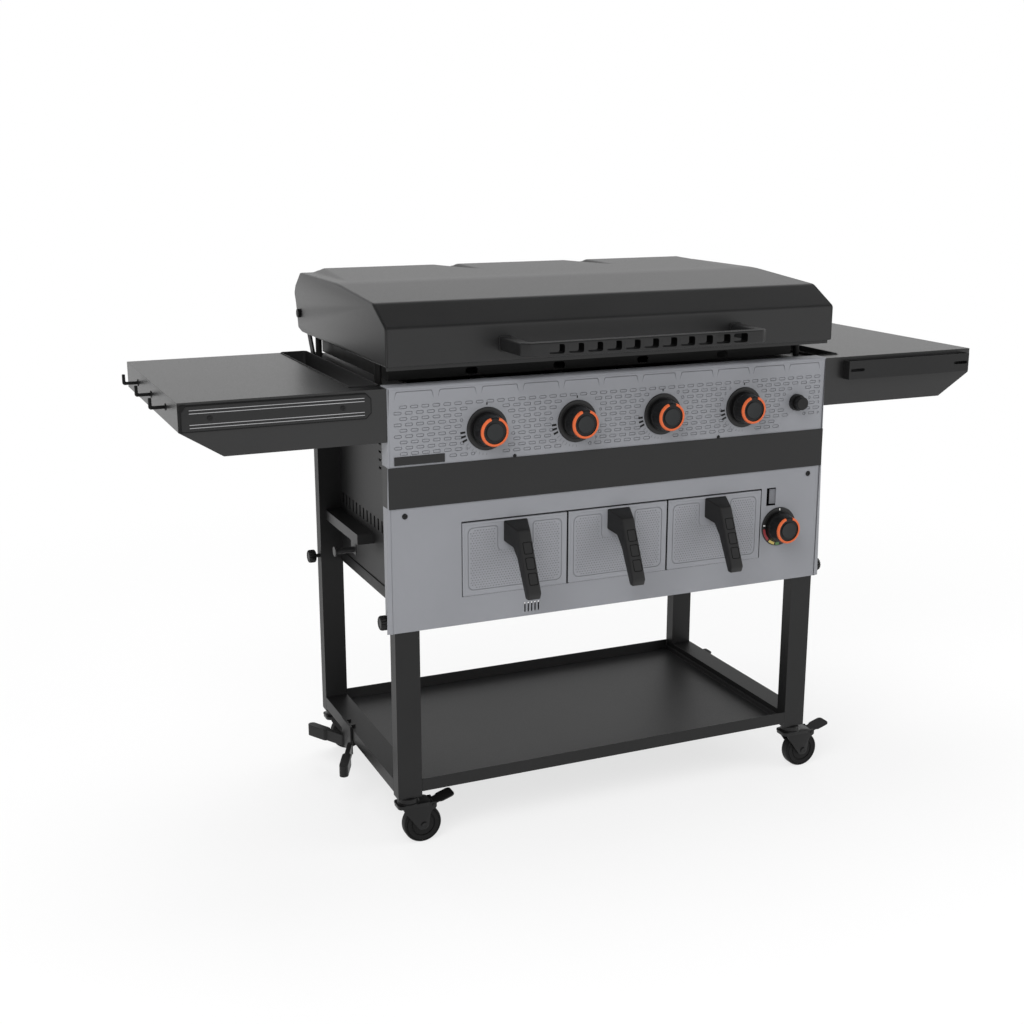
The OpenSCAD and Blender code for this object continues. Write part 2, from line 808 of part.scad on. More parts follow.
module drawer_grip(x) intersection() {
    grip_top = front_z1 - grip_top_drop;
    translate([x, 0, 0]) along_x(-grip_root_w, grip_root_w) polygon([[0, grip_top],
        [-grip_nose_y, grip_top - grip_nose_drop], [-grip_d, grip_top - grip_low_drop],
        [-grip_d + grip_end_in, grip_top - grip_end_drop],
        [-grip_d + grip_thick, grip_top - grip_end_drop],
        [-grip_waist_y, grip_top - grip_waist_drop], [0, grip_top - grip_root_h]]);
    translate([x, 0, 0]) along_z(front_z0 - grip_root_w, grip_top + cut) polygon([[-grip_root_w / 2, 0],
        [-grip_w / 2, -grip_nose_y], [-grip_w / 2, -grip_d - cut], [grip_w / 2, -grip_d - cut],
        [grip_w / 2, -grip_nose_y], [grip_root_w / 2, 0]]);
}

module drawer(i) home() {
    x = drawer_x(i);
    color("#97999e") translate([x, 0, 0]) difference() {
        block([-front_x, 0, front_z0], [front_x, front_fold, front_z1]);
        block([-front_x + sheet_t, sheet_t, front_z0 + sheet_t],
            [front_x - sheet_t, front_fold + cut, front_z1 - sheet_t]);
    }
    color("#8b8b88") translate([x, 0, 0]) difference() {
        block([-basket_x, sheet_t, front_z0], [basket_x, basket_d, front_z1 - basket_top_drop]);
        block([-basket_x + basket_t, sheet_t + basket_t, front_z0 + basket_t],
            [basket_x - basket_t, basket_d - basket_t, front_z1]);
    }
}

module drawer_handle(i) color("#1a1a1a") home() drawer_grip(drawer_x(i));

// Shelves and what hangs on them

module shelf(side) color("#3c3c3c") home() mirror([side < 0 ? 1 : 0, 0, 0]) {
    top = panel_top - sheet_t;
    skirt = [[panel_x, panel_top], [shelf_reach, panel_top], [shelf_reach, panel_top - shelf_edge_h],
        [shelf_reach - shelf_bevel, panel_top - shelf_root_h], [panel_x, panel_top - shelf_root_h]];
    block([guard_out, shelf_y, top], [shelf_reach, shelf_back, panel_top]);
    block([panel_x, shelf_y, top], [shelf_reach, guard_y, panel_top]);
    along_y(shelf_y, shelf_y + sheet_t) polygon(skirt);
    along_y(shelf_back - sheet_t, shelf_back) polygon(skirt);
    block([leg_out, shelf_back - sheet_t, panel_top - shelf_root_h],
        [panel_x, shelf_back, flange_z - rear_drop]);
    block([shelf_reach - sheet_t, shelf_y, panel_top - shelf_edge_h], [shelf_reach, shelf_back, panel_top]);
    block([panel_x, shelf_y, panel_top - shelf_root_h], [panel_x + sheet_t, fold_d, panel_top]);
    block([leg_out, leg_rear_y - leg_d / 2, panel_top - shelf_root_h],
        [leg_out + sheet_t, shelf_back, flange_z - rear_drop]);
}

module flue_guards() color("#303030") home() both_sides()
    translate([(guard_in + guard_out) / 2, (guard_y + guard_back) / 2, 0])
        along_z(panel_top + guard_proud - guard_h, panel_top + guard_proud) difference() {
            round_rect(guard_w, guard_back - guard_y, guard_r);
            round_rect(guard_w - 2 * sheet_t, guard_back - guard_y - 2 * sheet_t, guard_r - sheet_t);
        }

module tool_strip() color("#303030") home() {
    top = panel_top - strip_drop;
    x0 = shelf_reach - strip_end_gap;
    along_y(shelf_y - strip_t, shelf_y) polygon([[-x0, top], [-strip_x0 - strip_cut, top],
        [-strip_x0, top - strip_cut], [-strip_x0, top - strip_h + strip_cut],
        [-strip_x0 - strip_cut, top - strip_h], [-x0, top - strip_h]]);
}

module tool_hooks() color("#242424") home() for (y = hook_ys) {
    z = panel_top - hook_drop;
    tip = -shelf_reach - hook_reach;
    y0 = y - hook_w / 2;
    y1 = y + hook_w / 2;
    block([tip, y0, z], [-shelf_reach, y1, z + hook_t]);
    block([tip, y0, z], [tip + hook_t, y1, z + hook_up]);
    block([-shelf_reach - hook_t, y0, z], [-shelf_reach, y1, z + hook_root]);
}

module accessory_rail() color("#363636") home() difference() {
    top = panel_top - acc_drop;
    y0 = shelf_y - acc_reach;
    union() {
        block([acc_x0, y0, top - acc_h], [acc_x1, y0 + acc_t, top]);
        for (x = [acc_x0, acc_x1 - acc_t]) block([x, y0, top - acc_h], [x + acc_t, shelf_y, top]);
        block([acc_x0, shelf_y - acc_t, top - acc_h], [acc_x0 + acc_foot, shelf_y, top]);
        block([acc_x1 - acc_foot, shelf_y - acc_t, top - acc_h], [acc_x1, shelf_y, top]);
    }
    for (x = [acc_x0 + acc_slot_in, acc_x1 - acc_slot_in])
        translate([x, 0, top - acc_h / 2]) along_y(y0 - cut, y0 + acc_t + cut)
            slot(acc_slot_w, acc_slot_h);
}

module tank_hanger() color("#4a4a4a") home() {
    back = leg_rear_y - leg_d / 2;
    block([-hanger_x, hanger_y, hanger_top - hanger_h], [-hanger_x + hanger_t, back, hanger_top]);
    block([-hanger_x, hanger_y, hanger_top - hanger_t], [-wall_out, back, hanger_top]);
    block([-hanger_x, hanger_y, hanger_top - hanger_h], [-wall_out, hanger_y + hanger_t, hanger_top]);
    tab_z = hanger_top - hanger_h - hanger_tab_h;
    block([-hanger_x, hanger_tab_y, tab_z], [-hanger_x + hanger_t, hanger_tab_y + hanger_tab_w, hanger_top]);
    rod_y_place = hanger_tab_y + hanger_tab_w / 2;
    rod_x(-hanger_x - hanger_rod_l, -hanger_x, rod_y_place, tab_z + hanger_rod_rise, hanger_rod_r);
    rod_x(-hanger_x - hanger_rod_l - hanger_disc_t, -hanger_x - hanger_rod_l, rod_y_place,
        tab_z + hanger_rod_rise, hanger_disc_r);
}

// Brace arm seen from above: a bar with round ends from a to b
module capsule(a, b, r) {
    l = norm(b - a);
    translate(a) rotate(atan2(b[1] - a[1], b[0] - a[0])) {
        translate([0, -r]) square([l, 2 * r]);
        circle(r = r);
        translate([l, 0]) circle(r = r);
    }
}

module tank_brace() color("#1c1c1c") home() {
    out = -leg_out - brace_t;
    arm_z = brace_top - brace_drop - brace_arm_h;
    block([out, brace_y - brace_half, arm_z], [-leg_out, brace_y + brace_half, brace_top + brace_t]);
    for (s = [-1, 1]) {
        root = [out, brace_y + s * (brace_half - brace_arm_r)];
        tip = [out - brace_tip_out, s < 0 ? brace_y - brace_tip_y : brace_y + brace_rear_tip_y];
        along_z(arm_z, arm_z + brace_arm_h) capsule(root, tip, brace_arm_r);
        along_z(arm_z, arm_z + brace_arm_h)
            capsule(root + (tip - root) * brace_pad_l_share, tip, brace_pad_r);
        block([out, brace_y + s * brace_half / 2 - brace_hook_w / 2, brace_top],
            [-leg_out + brace_hook, brace_y + s * brace_half / 2 + brace_hook_w / 2, brace_top + brace_t]);
    }
}

// Hood

hood_path = [[lip_y, hood_bottom - lip_h], [lip_y, hood_bottom], [-hood_over, hood_bottom],
    [-hood_over, crease_z], [nose_y, nose_z], [slope_y, hood_rim], [top_back_y, hood_rim],
    [shoulder_y, hood_rim - shoulder_drop], [bulge_y, hood_rim - bulge_drop], [tail_y, hood_rim - tail_drop]];

// The raised part of the hood's top, rising towards the back, at the drop given below its outer face
module raised_top(drop) translate([0, 0, -drop]) {
    zb = hood_rim - ridge_sink;
    x0 = ridge_edge_x;
    x1 = ridge_edge_x - ridge_side;
    polyhedron(points = [[-x0, slope_y, zb], [x0, slope_y, zb], [x0, top_back_y, zb], [-x0, top_back_y, zb],
            [-x1, ridge_y, hood_top], [x1, ridge_y, hood_top]],
        faces = [[0, 1, 2, 3], [0, 4, 5, 1], [1, 5, 2], [2, 5, 4, 3], [3, 4, 0]]);
}

// A valley that starts as a point and widens and deepens towards the back, steep on its right side
module valley(x, drop) translate([x, 0, -drop]) {
    over = hood_top + cut;
    back = top_back_y + cut;
    polyhedron(points = [[valley_skew, valley_y, hood_rim + ridge_pitch * (valley_y - slope_y)],
            [-valley_gentle, back, over], [valley_steep, back, over], [0, back, hood_rim]],
        faces = [[0, 1, 2], [1, 3, 2], [0, 3, 1], [0, 2, 3]]);
}

module pressed_top(drop) difference() {
    raised_top(drop);
    for (x = valley_xs) valley(x, drop);
}

module hood_shell() color("#3b3b3b") home() difference() {
    union() {
        along_x(-hood_x + hood_t, hood_x - hood_t) polygon(bent(hood_path, -hood_t));
        pressed_top(0);
    }
    pressed_top(hood_t);
}

module hood_ends() color("#444444") home() both_sides() difference() {
    along_x(hood_x - hood_t, hood_x) polygon([
        [-hood_over, hood_bottom], [-hood_over, crease_z], [nose_y, nose_z],
        [slope_y, hood_rim], [top_back_y, hood_rim], [shoulder_y, hood_rim - shoulder_drop],
        [bulge_y, hood_rim - bulge_drop],
        [tail_y, hood_rim - tail_drop], [heel_y, hood_bottom + heel_rise], [toe_y, hood_bottom]]);
    rod_x(hood_x - hood_t - cut, hood_x + cut, pin_y, pin_z, pin_r + fit_gap);
}

module hood_handle() color("#1c1c1c") home() {
    z0 = hood_bottom + handle_rise;
    hx = handle_w / 2;
    difference() {
        along_z(z0, z0 + handle_h) polygon([[-hx, -hood_over], [-hx, bar_bevel - handle_reach],
            [bar_bevel - hx, -handle_reach], [hx - bar_bevel, -handle_reach],
            [hx, bar_bevel - handle_reach], [hx, -hood_over], [hx - arm_w, -hood_over],
            [hx - arm_w, bar_d - handle_reach], [arm_w - hx, bar_d - handle_reach],
            [arm_w - hx, -hood_over]]);
        for (i = [0 : grip_hole_n - 1])
            translate([(i - (grip_hole_n - 1) / 2) * grip_hole_pitch, 0, z0 + handle_h / 2])
                block([-grip_hole_w / 2, -handle_reach - cut, -grip_hole_h / 2],
                    [grip_hole_w / 2, bar_d - handle_reach + cut, grip_hole_h / 2]);
    }
}

module hinge_brackets() color("#2a2a2a") home() both_sides() {
    x1 = hood_x - bracket_in - hood_t;
    x0 = x1 - bracket_t;
    foot_z = flange_z + sheet_t;
    along_x(x0, x1) {
        polygon([[bracket_y0, foot_z], [bracket_y1, foot_z],
            [pin_y + bracket_boss_r, pin_z], [pin_y - bracket_boss_r, pin_z]]);
        translate([pin_y, pin_z]) circle(r = bracket_boss_r);
    }
    block([x1 - bracket_foot_w, bracket_y0, foot_z], [x1, bracket_y1, foot_z + bracket_foot_t]);
    rod_x(x0, hood_x + run_gap, pin_y, pin_z, pin_r);
    rod_x(hood_x + run_gap, hood_x + run_gap + pin_head_t, pin_y, pin_z, pin_head_r);
}

// Griddle top

module griddle_plate() color("#2b2a29") home() difference() {
    plate_z = griddle_top - griddle_t;
    post_z = flange_z + sheet_t + seat_gap;
    wall_z = griddle_top + griddle_wall;
    union() {
        block([-griddle_x, griddle_y, plate_z], [griddle_x, griddle_back, griddle_top]);
        block([-griddle_x, griddle_y, panel_top],
            [griddle_x, griddle_y + skirt_t, griddle_top + griddle_lip]);
        both_sides() block([griddle_x - skirt_t, griddle_y, panel_top], [griddle_x, griddle_back, wall_z]);
        block([-griddle_x, griddle_back - skirt_t, plate_z], [griddle_x, griddle_back, wall_z]);
        for (y = [post_front_y, post_rear_y]) both_sides() {
            block([griddle_x - skirt_t, y - post_r, plate_z], [post_x, y + post_r, plate_z + ear_t]);
            rod_z(plate_z, plate_z + ear_t, post_x, y, post_r);
            rod_z(post_z, plate_z, post_x, y, post_r);
        }
        block([spout_x - spout_w / 2, griddle_back - skirt_t, plate_z - spout_d],
            [spout_x + spout_w / 2, spout_y, griddle_top]);
    }
    for (i = [0 : oval_n - 1]) translate([(i - (oval_n - 1) / 2) * oval_pitch, 0, panel_top + oval_lift])
        along_y(griddle_y - cut, griddle_y + skirt_t + cut) slot(oval_w, oval_h);
    block([spout_x - spout_w / 2 + skirt_t, griddle_back - skirt_t - cut, plate_z - spout_d + skirt_t],
        [spout_x + spout_w / 2 - skirt_t, spout_y + cut, griddle_top + cut]);
}

// Rear grease cup on its two bars

module cup_bracket() color("#2a2a2a") home() translate([cup_x, 0, 0]) {
    z0 = cup_top - bar_h;
    z1 = cup_top - cup_t - run_gap;
    x0 = cup_w / 2 + run_gap;
    both_sides() block([x0, body_d, z0], [x0 + bar_t, cup_y + cup_l, z1]);
    block([-x0 - bar_t, body_d, z0], [x0 + bar_t, body_d + bar_t, z1]);
}

module grease_cup() color("#9c9c9a") home() translate([cup_x, 0, 0]) {
    z0 = cup_top - cup_h;
    y1 = cup_y + cup_l;
    low_w = cup_w / 2 - cup_taper;
    difference() {
        along_y(cup_y, y1) polygon([[-low_w, z0], [low_w, z0], [cup_w / 2, cup_top - bar_h],
            [cup_w / 2, cup_top], [-cup_w / 2, cup_top], [-cup_w / 2, cup_top - bar_h]]);
        along_y(cup_y + cup_t, y1 - cup_t) polygon([[cup_t - low_w, z0 + cup_t], [low_w - cup_t, z0 + cup_t],
            [cup_w / 2 - cup_t, cup_top - bar_h], [cup_w / 2 - cup_t, cup_top + cut],
            [cup_t - cup_w / 2, cup_top + cut], [cup_t - cup_w / 2, cup_top - bar_h]]);
    }
    both_sides() block([cup_w / 2, cup_y, cup_top - cup_t], [cup_w / 2 + cup_rim, y1, cup_top]);
    tab_z = cup_top - cup_tab_drop;
    block([-cup_tab_w / 2, y1, tab_z], [cup_tab_w / 2, cup_reach, tab_z + cup_t]);
}

// Screws

module thumb_screws() color("#1d1d1d") home() both_sides() for (y = [leg_front_y, leg_rear_y]) {
    head = panel_x + thumb_gap;
    rod_x(head - thumb_gap - thumb_shank_in, head, y, thumb_z, thumb_shank_r);
    rod_x(head, head + thumb_l, y, thumb_z, thumb_r);
}

module screws() color("#2a2a2a") home() {
    for (s = [-1, 1]) rod_y(-screw_t, 0, s * panel_screw_x, panel_top - panel_screw_drop, screw_r);
    for (s = [-1, 1]) rod_y(-band_t, 0, s * notch_x, band_top + notch_r, notch_r);
    strip_face = shelf_y - strip_t;
    for (x = strip_screw_xs)
        rod_y(strip_face - screw_t, strip_face, -x, panel_top - strip_screw_drop, screw_r);
}

front_panel();
trim_band();
legs(leg_front_y);  // front_legs
legs(leg_rear_y);  // rear_legs
side_rails();
bottom_tray();
side_wall(-1);  // side_wall_left
side_wall(1);  // side_wall_right
rear_wall();
heat_shield();
cabinet_floor();
fryer_deck();
burner_tubes();
fryer_burner();
gas_manifold();
knob_bezels();
igniter_housing();
fryer_window();
shelf(-1);  // shelf_left
shelf(1);  // shelf_right
flue_guards();
tool_strip();
tool_hooks();
accessory_rail();
tank_hanger();
tank_brace();
hinge_brackets();
caster_stems();
cup_bracket();
thumb_screws();
screws();
hood_shell();
hood_ends();
hood_handle();
griddle_plate();
burner_knob(0);  // burner_knob_1
burner_knob(1);  // burner_knob_2
burner_knob(2);  // burner_knob_3
burner_knob(3);  // burner_knob_4
fryer_knob();
igniter_button();
drawer(0);  // drawer_1
drawer(1);  // drawer_2
drawer(2);  // drawer_3
drawer_handle(0);  // drawer_handle_1
drawer_handle(1);  // drawer_handle_2
drawer_handle(2);  // drawer_handle_3
grease_cup();
caster_fork(0);  // caster_fork_1
caster_fork(1);  // caster_fork_2
caster_fork(2);  // caster_fork_3
caster_fork(3);  // caster_fork_4
caster_wheel(0);  // caster_wheel_1
caster_wheel(1);  // caster_wheel_2
caster_wheel(2);  // caster_wheel_3
caster_wheel(3);  // caster_wheel_4
brake_pedal(0);  // brake_pedal_1
brake_pedal(1);  // brake_pedal_2
brake_pedal(2);  // brake_pedal_3
brake_pedal(3);  // brake_pedal_4
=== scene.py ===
"""Outdoor gas griddle station: hooded griddle, three air-fryer drawers, side shelves and a wheeled cart.

Sizes below are millimetres in the front panel's own frame: X from its centre plane, Y from its
face towards the back, Z from the floor. row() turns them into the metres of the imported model.
"""
import math

import bmesh
import bpy
from mathutils import Matrix, Vector
from mathutils.geometry import delaunay_2d_cdt


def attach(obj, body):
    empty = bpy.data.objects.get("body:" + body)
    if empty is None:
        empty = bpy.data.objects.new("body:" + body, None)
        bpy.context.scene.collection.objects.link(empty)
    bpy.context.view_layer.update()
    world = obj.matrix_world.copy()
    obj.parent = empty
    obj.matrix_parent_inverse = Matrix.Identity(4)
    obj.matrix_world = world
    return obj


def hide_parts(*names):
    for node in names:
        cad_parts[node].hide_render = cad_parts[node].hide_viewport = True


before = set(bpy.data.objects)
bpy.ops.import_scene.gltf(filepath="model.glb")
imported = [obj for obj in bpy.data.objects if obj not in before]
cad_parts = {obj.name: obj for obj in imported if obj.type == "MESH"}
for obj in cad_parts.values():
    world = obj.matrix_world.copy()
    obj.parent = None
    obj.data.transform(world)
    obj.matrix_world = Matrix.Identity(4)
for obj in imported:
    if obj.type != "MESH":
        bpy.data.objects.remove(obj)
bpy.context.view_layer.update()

MM = 0.001
SHIFT_X = 14.5
SHIFT_Y = -269.5
SMOOTH = math.radians(32)
SIDES = (("left", -1), ("right", 1))


def row(x, y, z):
    """A place in the panel's frame, in the row frame's metres."""
    return Vector(((x + SHIFT_X) * MM, (y + SHIFT_Y) * MM, z * MM))


def placed(name, data):
    """A new object in the scene."""
    obj = bpy.data.objects.new(name, data)
    bpy.context.scene.collection.objects.link(obj)
    return obj


# Camera

camera_data = bpy.data.cameras.new("camera")
camera_data.lens = 49.73
camera_data.sensor_width = 36.0
camera_data.clip_start = 0.05
camera_data.clip_end = 100.0
camera = placed("camera", camera_data)
camera.location = row(-1244.3, -2331.9, 1293.0)
camera.rotation_euler = (math.radians(75.545), 0.0, math.radians(-23.64))
bpy.context.scene.camera = camera


# Materials

def add_node(tree, kind, inputs):
    """A new shader node. Each input, by name or number, gets a value or the output that feeds it."""
    node = tree.nodes.new(kind)
    for key, value in inputs.items():
        if isinstance(value, bpy.types.NodeSocket):
            tree.links.new(value, node.inputs[key])
        else:
            node.inputs[key].default_value = value
    return node


def noise(tree, scale, detail, stretch=(1.0, 1.0, 1.0)):
    """A noise texture in the object's own metres, drawn out along the axes if stretch is given."""
    coord = tree.nodes.new("ShaderNodeTexCoord").outputs["Object"]
    mapping = add_node(tree, "ShaderNodeMapping", {"Vector": coord, "Scale": stretch}).outputs["Vector"]
    settings = {"Vector": mapping, "Scale": scale, "Detail": detail}
    return add_node(tree, "ShaderNodeTexNoise", settings).outputs["Fac"]


NOISE_LOW = 0.3
NOISE_HIGH = 0.7


def ramp(tree, factor, dark, light):
    node = add_node(tree, "ShaderNodeValToRGB", {"Fac": factor})
    for element, place, colour in zip(node.color_ramp.elements, (NOISE_LOW, NOISE_HIGH), (dark, light)):
        element.position = place
        element.color = (*colour, 1.0)
    return node.outputs["Color"]


def map_range(tree, value, start, end, low, high, smooth=False):
    """A value that runs from start to end, turned into one that runs from low to high."""
    settings = {"Value": value, "From Min": start, "From Max": end, "To Min": low, "To Max": high}
    node = add_node(tree, "ShaderNodeMapRange", settings)
    if smooth:
        node.interpolation_type = "SMOOTHSTEP"
    return node.outputs["Result"]


def bump(tree, height, strength, distance):
    settings = {"Height": height, "Strength": strength, "Distance": distance}
    return add_node(tree, "ShaderNodeBump", settings).outputs["Normal"]


def shade(colour, factor):
    return tuple(min(1.0, c * factor) for c in colour)


def finish(name, colour, contrast, noises, rough, relief, metallic, shine):
    """A surface whose tone, gloss and grain follow noises, each a (scale, detail, stretch)."""
    material = bpy.data.materials.new(name)
    material.use_nodes = True
    tree = material.node_tree
    shader = tree.nodes["Principled BSDF"]
    tone, gloss, grain = [noise(tree, *settings) for settings in noises]
    paint = ramp(tree, tone, shade(colour, contrast[0]), shade(colour, contrast[1]))
    tree.links.new(paint, shader.inputs["Base Color"])
    gloss = map_range(tree, gloss, NOISE_LOW, NOISE_HIGH, *rough)
    tree.links.new(gloss, shader.inputs["Roughness"])
    tree.links.new(bump(tree, grain, *relief), shader.inputs["Normal"])
    shader.inputs["Metallic"].default_value = metallic
    shader.inputs["Specular IOR Level"].default_value = shine
    return material


def coated(name, colour, rough=(0.42, 0.52), vary=0.10, grain=0.00006, metallic=0.0, grain_scale=900.0,
           shine=0.36):
    """Powder coat or moulding: broad drift of tone, fine grain in the surface and in the gloss."""
    fine = (grain_scale, 2.0)
    noises = ((7.0, 5.0), fine, fine)
    return finish(name, colour, (1.0 - vary, 1.0 + vary), noises, rough, (0.5, grain), metallic, shine)


def steel(name, colour, rough=(0.25, 0.4), stretch=(1.0, 40.0, 40.0)):
    """Bare sheet or pipe with a fine drawn grain along one axis."""
    drawn = (60.0, 4.0, stretch)
    noises = ((9.0, 4.0), drawn, drawn)
    return finish(name, colour, (0.88, 1.12), noises, rough, (0.25, 0.00005), 1.0, 0.5)


GREY = (0.25, 0.256, 0.276)


def even(value):
    """A neutral black of the given depth."""
    return (value, value, value * 1.02)


grey_coat = coated("grey_coat", GREY, (0.40, 0.50), 0.03, 0.00003, shine=0.4)
panel_coat = coated("panel_coat", shade(GREY, 0.94), (0.40, 0.50), 0.03, 0.00003, shine=0.4)
# Darker copies of the panel grey: painted shade on the walls of pressed grooves and on the window's flap.
grey_painted_shade = coated("grey_painted_shade", shade(GREY, 0.68), (0.45, 0.55), 0.05, 0.00003, shine=0.25)
soft_painted_shade = coated("soft_painted_shade", shade(GREY, 0.72), (0.45, 0.55), 0.05, 0.00003, shine=0.3)
# Near black: painted shade for the window's pocket, the gaps round the drawers and the walls of cut windows
# and grooves.
black_painted_shade = coated("black_painted_shade", even(0.0025), (0.5, 0.6), 0.10, shine=0.06)
hood_coat = coated("hood_coat", even(0.009), (0.31, 0.42), 0.10, shine=0.44)
shelf_coat = coated("shelf_coat", even(0.0095), (0.30, 0.42), 0.12, shine=0.5)
body_coat = coated("body_coat", even(0.011), (0.42, 0.54), 0.10)
frame_coat = coated("frame_coat", even(0.009), (0.42, 0.54), 0.12, shine=0.3)
band_coat = coated("band_coat", even(0.0115), (0.44, 0.54), 0.06, 0.00003)
edge_black = coated("edge_black", even(0.005), (0.45, 0.6), 0.12, shine=0.2)
moulding = coated("moulding", even(0.0058), (0.38, 0.5), 0.12, 0.00005, 0.0, 700.0, 0.3)
grip_moulding = coated("grip_moulding", even(0.011), (0.38, 0.5), 0.12, 0.00005, 0.0, 700.0, 0.34)
knob_moulding = coated("knob_moulding", even(0.005), (0.32, 0.42), 0.10, 0.00003, 0.0, 1200.0, 0.3)
cap_moulding = coated("cap_moulding", (0.0085, 0.010, 0.0108), (0.30, 0.40), 0.08, 0.00002, 0.0, 1200.0)
bezel_finish = coated("bezel_finish", even(0.008), (0.30, 0.42), 0.10, 0.00002)
orange = coated("orange", (0.62, 0.12, 0.035), (0.35, 0.45), 0.05, 0.00002)
zinc = coated("zinc", even(0.010), (0.30, 0.42), 0.15, 0.00004, 0.3)
tread = coated("tread", even(0.004), (0.48, 0.62), 0.15, 0.00008, 0.0, 400.0, 0.2)
tray_coat = coated("tray_coat", even(0.015), (0.40, 0.52), 0.10, shine=0.5)
mark_black = coated("mark_black", even(0.006), (0.5, 0.6), 0.10, 0.00002, shine=0.25)
mark_grey = coated("mark_grey", (0.14, 0.14, 0.15), (0.4, 0.5), 0.08, 0.00002)
mark_white = coated("mark_white", (0.70, 0.70, 0.69), (0.4, 0.5), 0.04, 0.00002)
mark_red = coated("mark_red", (0.25, 0.03, 0.035), (0.4, 0.5), 0.06, 0.00002)
mark_yellow = coated("mark_yellow", (0.55, 0.42, 0.12), (0.4, 0.5), 0.06, 0.00002)
mark_green = coated("mark_green", (0.10, 0.22, 0.08), (0.4, 0.5), 0.06, 0.00002)
plain_steel = steel("plain_steel", (0.46, 0.455, 0.445))
pipe_steel = steel("pipe_steel", (0.40, 0.40, 0.40), (0.28, 0.42), (40.0, 1.0, 1.0))
bright_line = steel("bright_line", (0.44, 0.44, 0.45), (0.25, 0.35))
cloudy = (11.0, 8.0)
griddle_iron = finish("griddle_iron", (0.006, 0.0058, 0.0056), (0.6, 1.7), (cloudy, cloudy, (500.0, 3.0)),
                      (0.34, 0.52), (0.4, 0.00008), 0.0, 0.24)


# Mesh building

def circle(x, z, radius, count=24, start=0.0):
    turn = 2 * math.pi / count
    angles = [start + i * turn for i in range(count)]
    return [(x + radius * math.cos(a), z + radius * math.sin(a)) for a in angles]


def rounded_box(x, z, width, height, radius, steps=3):
    """The outline of a rectangle with round corners, anticlockwise."""
    points = []
    for sx, sz, start in ((1, 1, 0.0), (-1, 1, 0.5), (-1, -1, 1.0), (1, -1, 1.5)):
        cx = x + sx * (width / 2 - radius)
        cz = z + sz * (height / 2 - radius)
        for i in range(steps + 1):
            a = math.pi * (start + 0.5 * i / steps)
            points.append((cx + radius * math.cos(a), cz + radius * math.sin(a)))
    return points


def inset(loop, amount):
    """The same outline moved inwards, for anticlockwise outlines without tight notches."""
    out = []
    n = len(loop)
    for i in range(n):
        a, b, c = Vector(loop[i - 1]), Vector(loop[i]), Vector(loop[(i + 1) % n])
        n1 = Vector((-(b - a).y, (b - a).x)).normalized()
        n2 = Vector((-(c - b).y, (c - b).x)).normalized()
        m = n1 + n2
        m /= max(0.25, m.dot(n1))
        out.append(tuple(b + m * amount))
    return out


def fillet(path, radii, steps=6):
    """An open path with its inner corners rounded, one radius a corner."""
    out = [tuple(path[0])]
    for i in range(1, len(path) - 1):
        a, b, c = Vector(path[i - 1]), Vector(path[i]), Vector(path[i + 1])
        d1 = (a - b).normalized()
        d2 = (c - b).normalized()
        half = math.acos(max(-1.0, min(1.0, d1.dot(d2)))) / 2
        r = radii[i - 1]
        if r <= 0 or half > math.pi / 2 - 0.01:
            out.append(tuple(b))
            continue
        reach = min(r / math.tan(half), 0.49 * (a - b).length, 0.49 * (c - b).length)
        r = reach * math.tan(half)
        centre = b + (d1 + d2).normalized() * (r / math.sin(half))
        p1 = b + d1 * reach - centre
        p2 = b + d2 * reach - centre
        whole = p1.angle_signed(p2)
        for k in range(steps + 1):
            turn = Matrix.Rotation(-whole * k / steps, 2)
            out.append(tuple(centre + turn @ p1))
    out.append(tuple(path[-1]))
    return out


def shade_crease_walls(mesh, material, x0, x1, z0, z1):
    """Paints shade on the steep walls of a pressed sheet, inside the given field, with a darker material of
    their own.
    """
    mesh.materials.append(material)
    low, high = row(x0, -0.5, z0), row(x1, 4.0, z1)
    for polygon in mesh.polygons:
        at = polygon.center
        if all(low[k] < at[k] < high[k] for k in range(3)) and abs(polygon.normal.y) < 0.86:
            polygon.material_index = 1


def mesh_of(name, shape):
    """A mesh from (points, faces) in the panel's millimetres."""
    points, faces = shape
    mesh = bpy.data.meshes.new(name)
    mesh.from_pydata([row(*p) for p in points], [], faces)
    return mesh


def piece(name, shape, material, body, stands_for=(), modifiers=None, closed=True, crease_shade=None):
    """A mesh piece that rides on a body."""
    mesh = mesh_of(name, shape)
    mesh.validate()
    if closed:
        recalc(mesh)
    obj = placed(name, mesh)
    mesh.materials.append(material)
    if crease_shade:
        shade_crease_walls(mesh, *crease_shade)
    if modifiers:
        modifiers(obj)
        cutters = [step.object for step in obj.modifiers if step.type == "BOOLEAN"]
        bake(obj)
        for cutter in cutters:
            bpy.data.objects.remove(cutter)
    finish_shading(obj)
    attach(obj, body)
    if stands_for:
        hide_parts(*stands_for)
    return obj


def recalc(mesh):
    """Turns every face of a closed mesh outwards."""
    bm = bmesh.new()
    bm.from_mesh(mesh)
    bmesh.ops.recalc_face_normals(bm, faces=bm.faces)
    bm.to_mesh(mesh)
    bm.free()


def bake(obj):
    """Puts the modifiers' result into the mesh."""
    bpy.context.view_layer.update()
    depsgraph = bpy.context.evaluated_depsgraph_get()
    made = bpy.data.meshes.new_from_object(obj.evaluated_get(depsgraph))
    old = obj.data
    obj.modifiers.clear()
    obj.data = made
    bpy.data.meshes.remove(old)


def finish_shading(obj):
    for polygon in obj.data.polygons:
        polygon.use_smooth = True
    obj.data.set_sharp_from_angle(angle=SMOOTH)


def thicken(thickness):
    def add(obj):
        solid = obj.modifiers.new("thickness", "SOLIDIFY")
        solid.thickness = thickness * MM
        solid.offset = -1.0
        solid.use_even_offset = True
    return add


def bevelled(width, segments=2, angle=30.0):
    def add(obj):
        bevel = obj.modifiers.new("bevel", "BEVEL")
        bevel.width = width * MM
        bevel.segments = segments
        bevel.limit_method = "ANGLE"
        bevel.angle_limit = math.radians(angle)
    return add


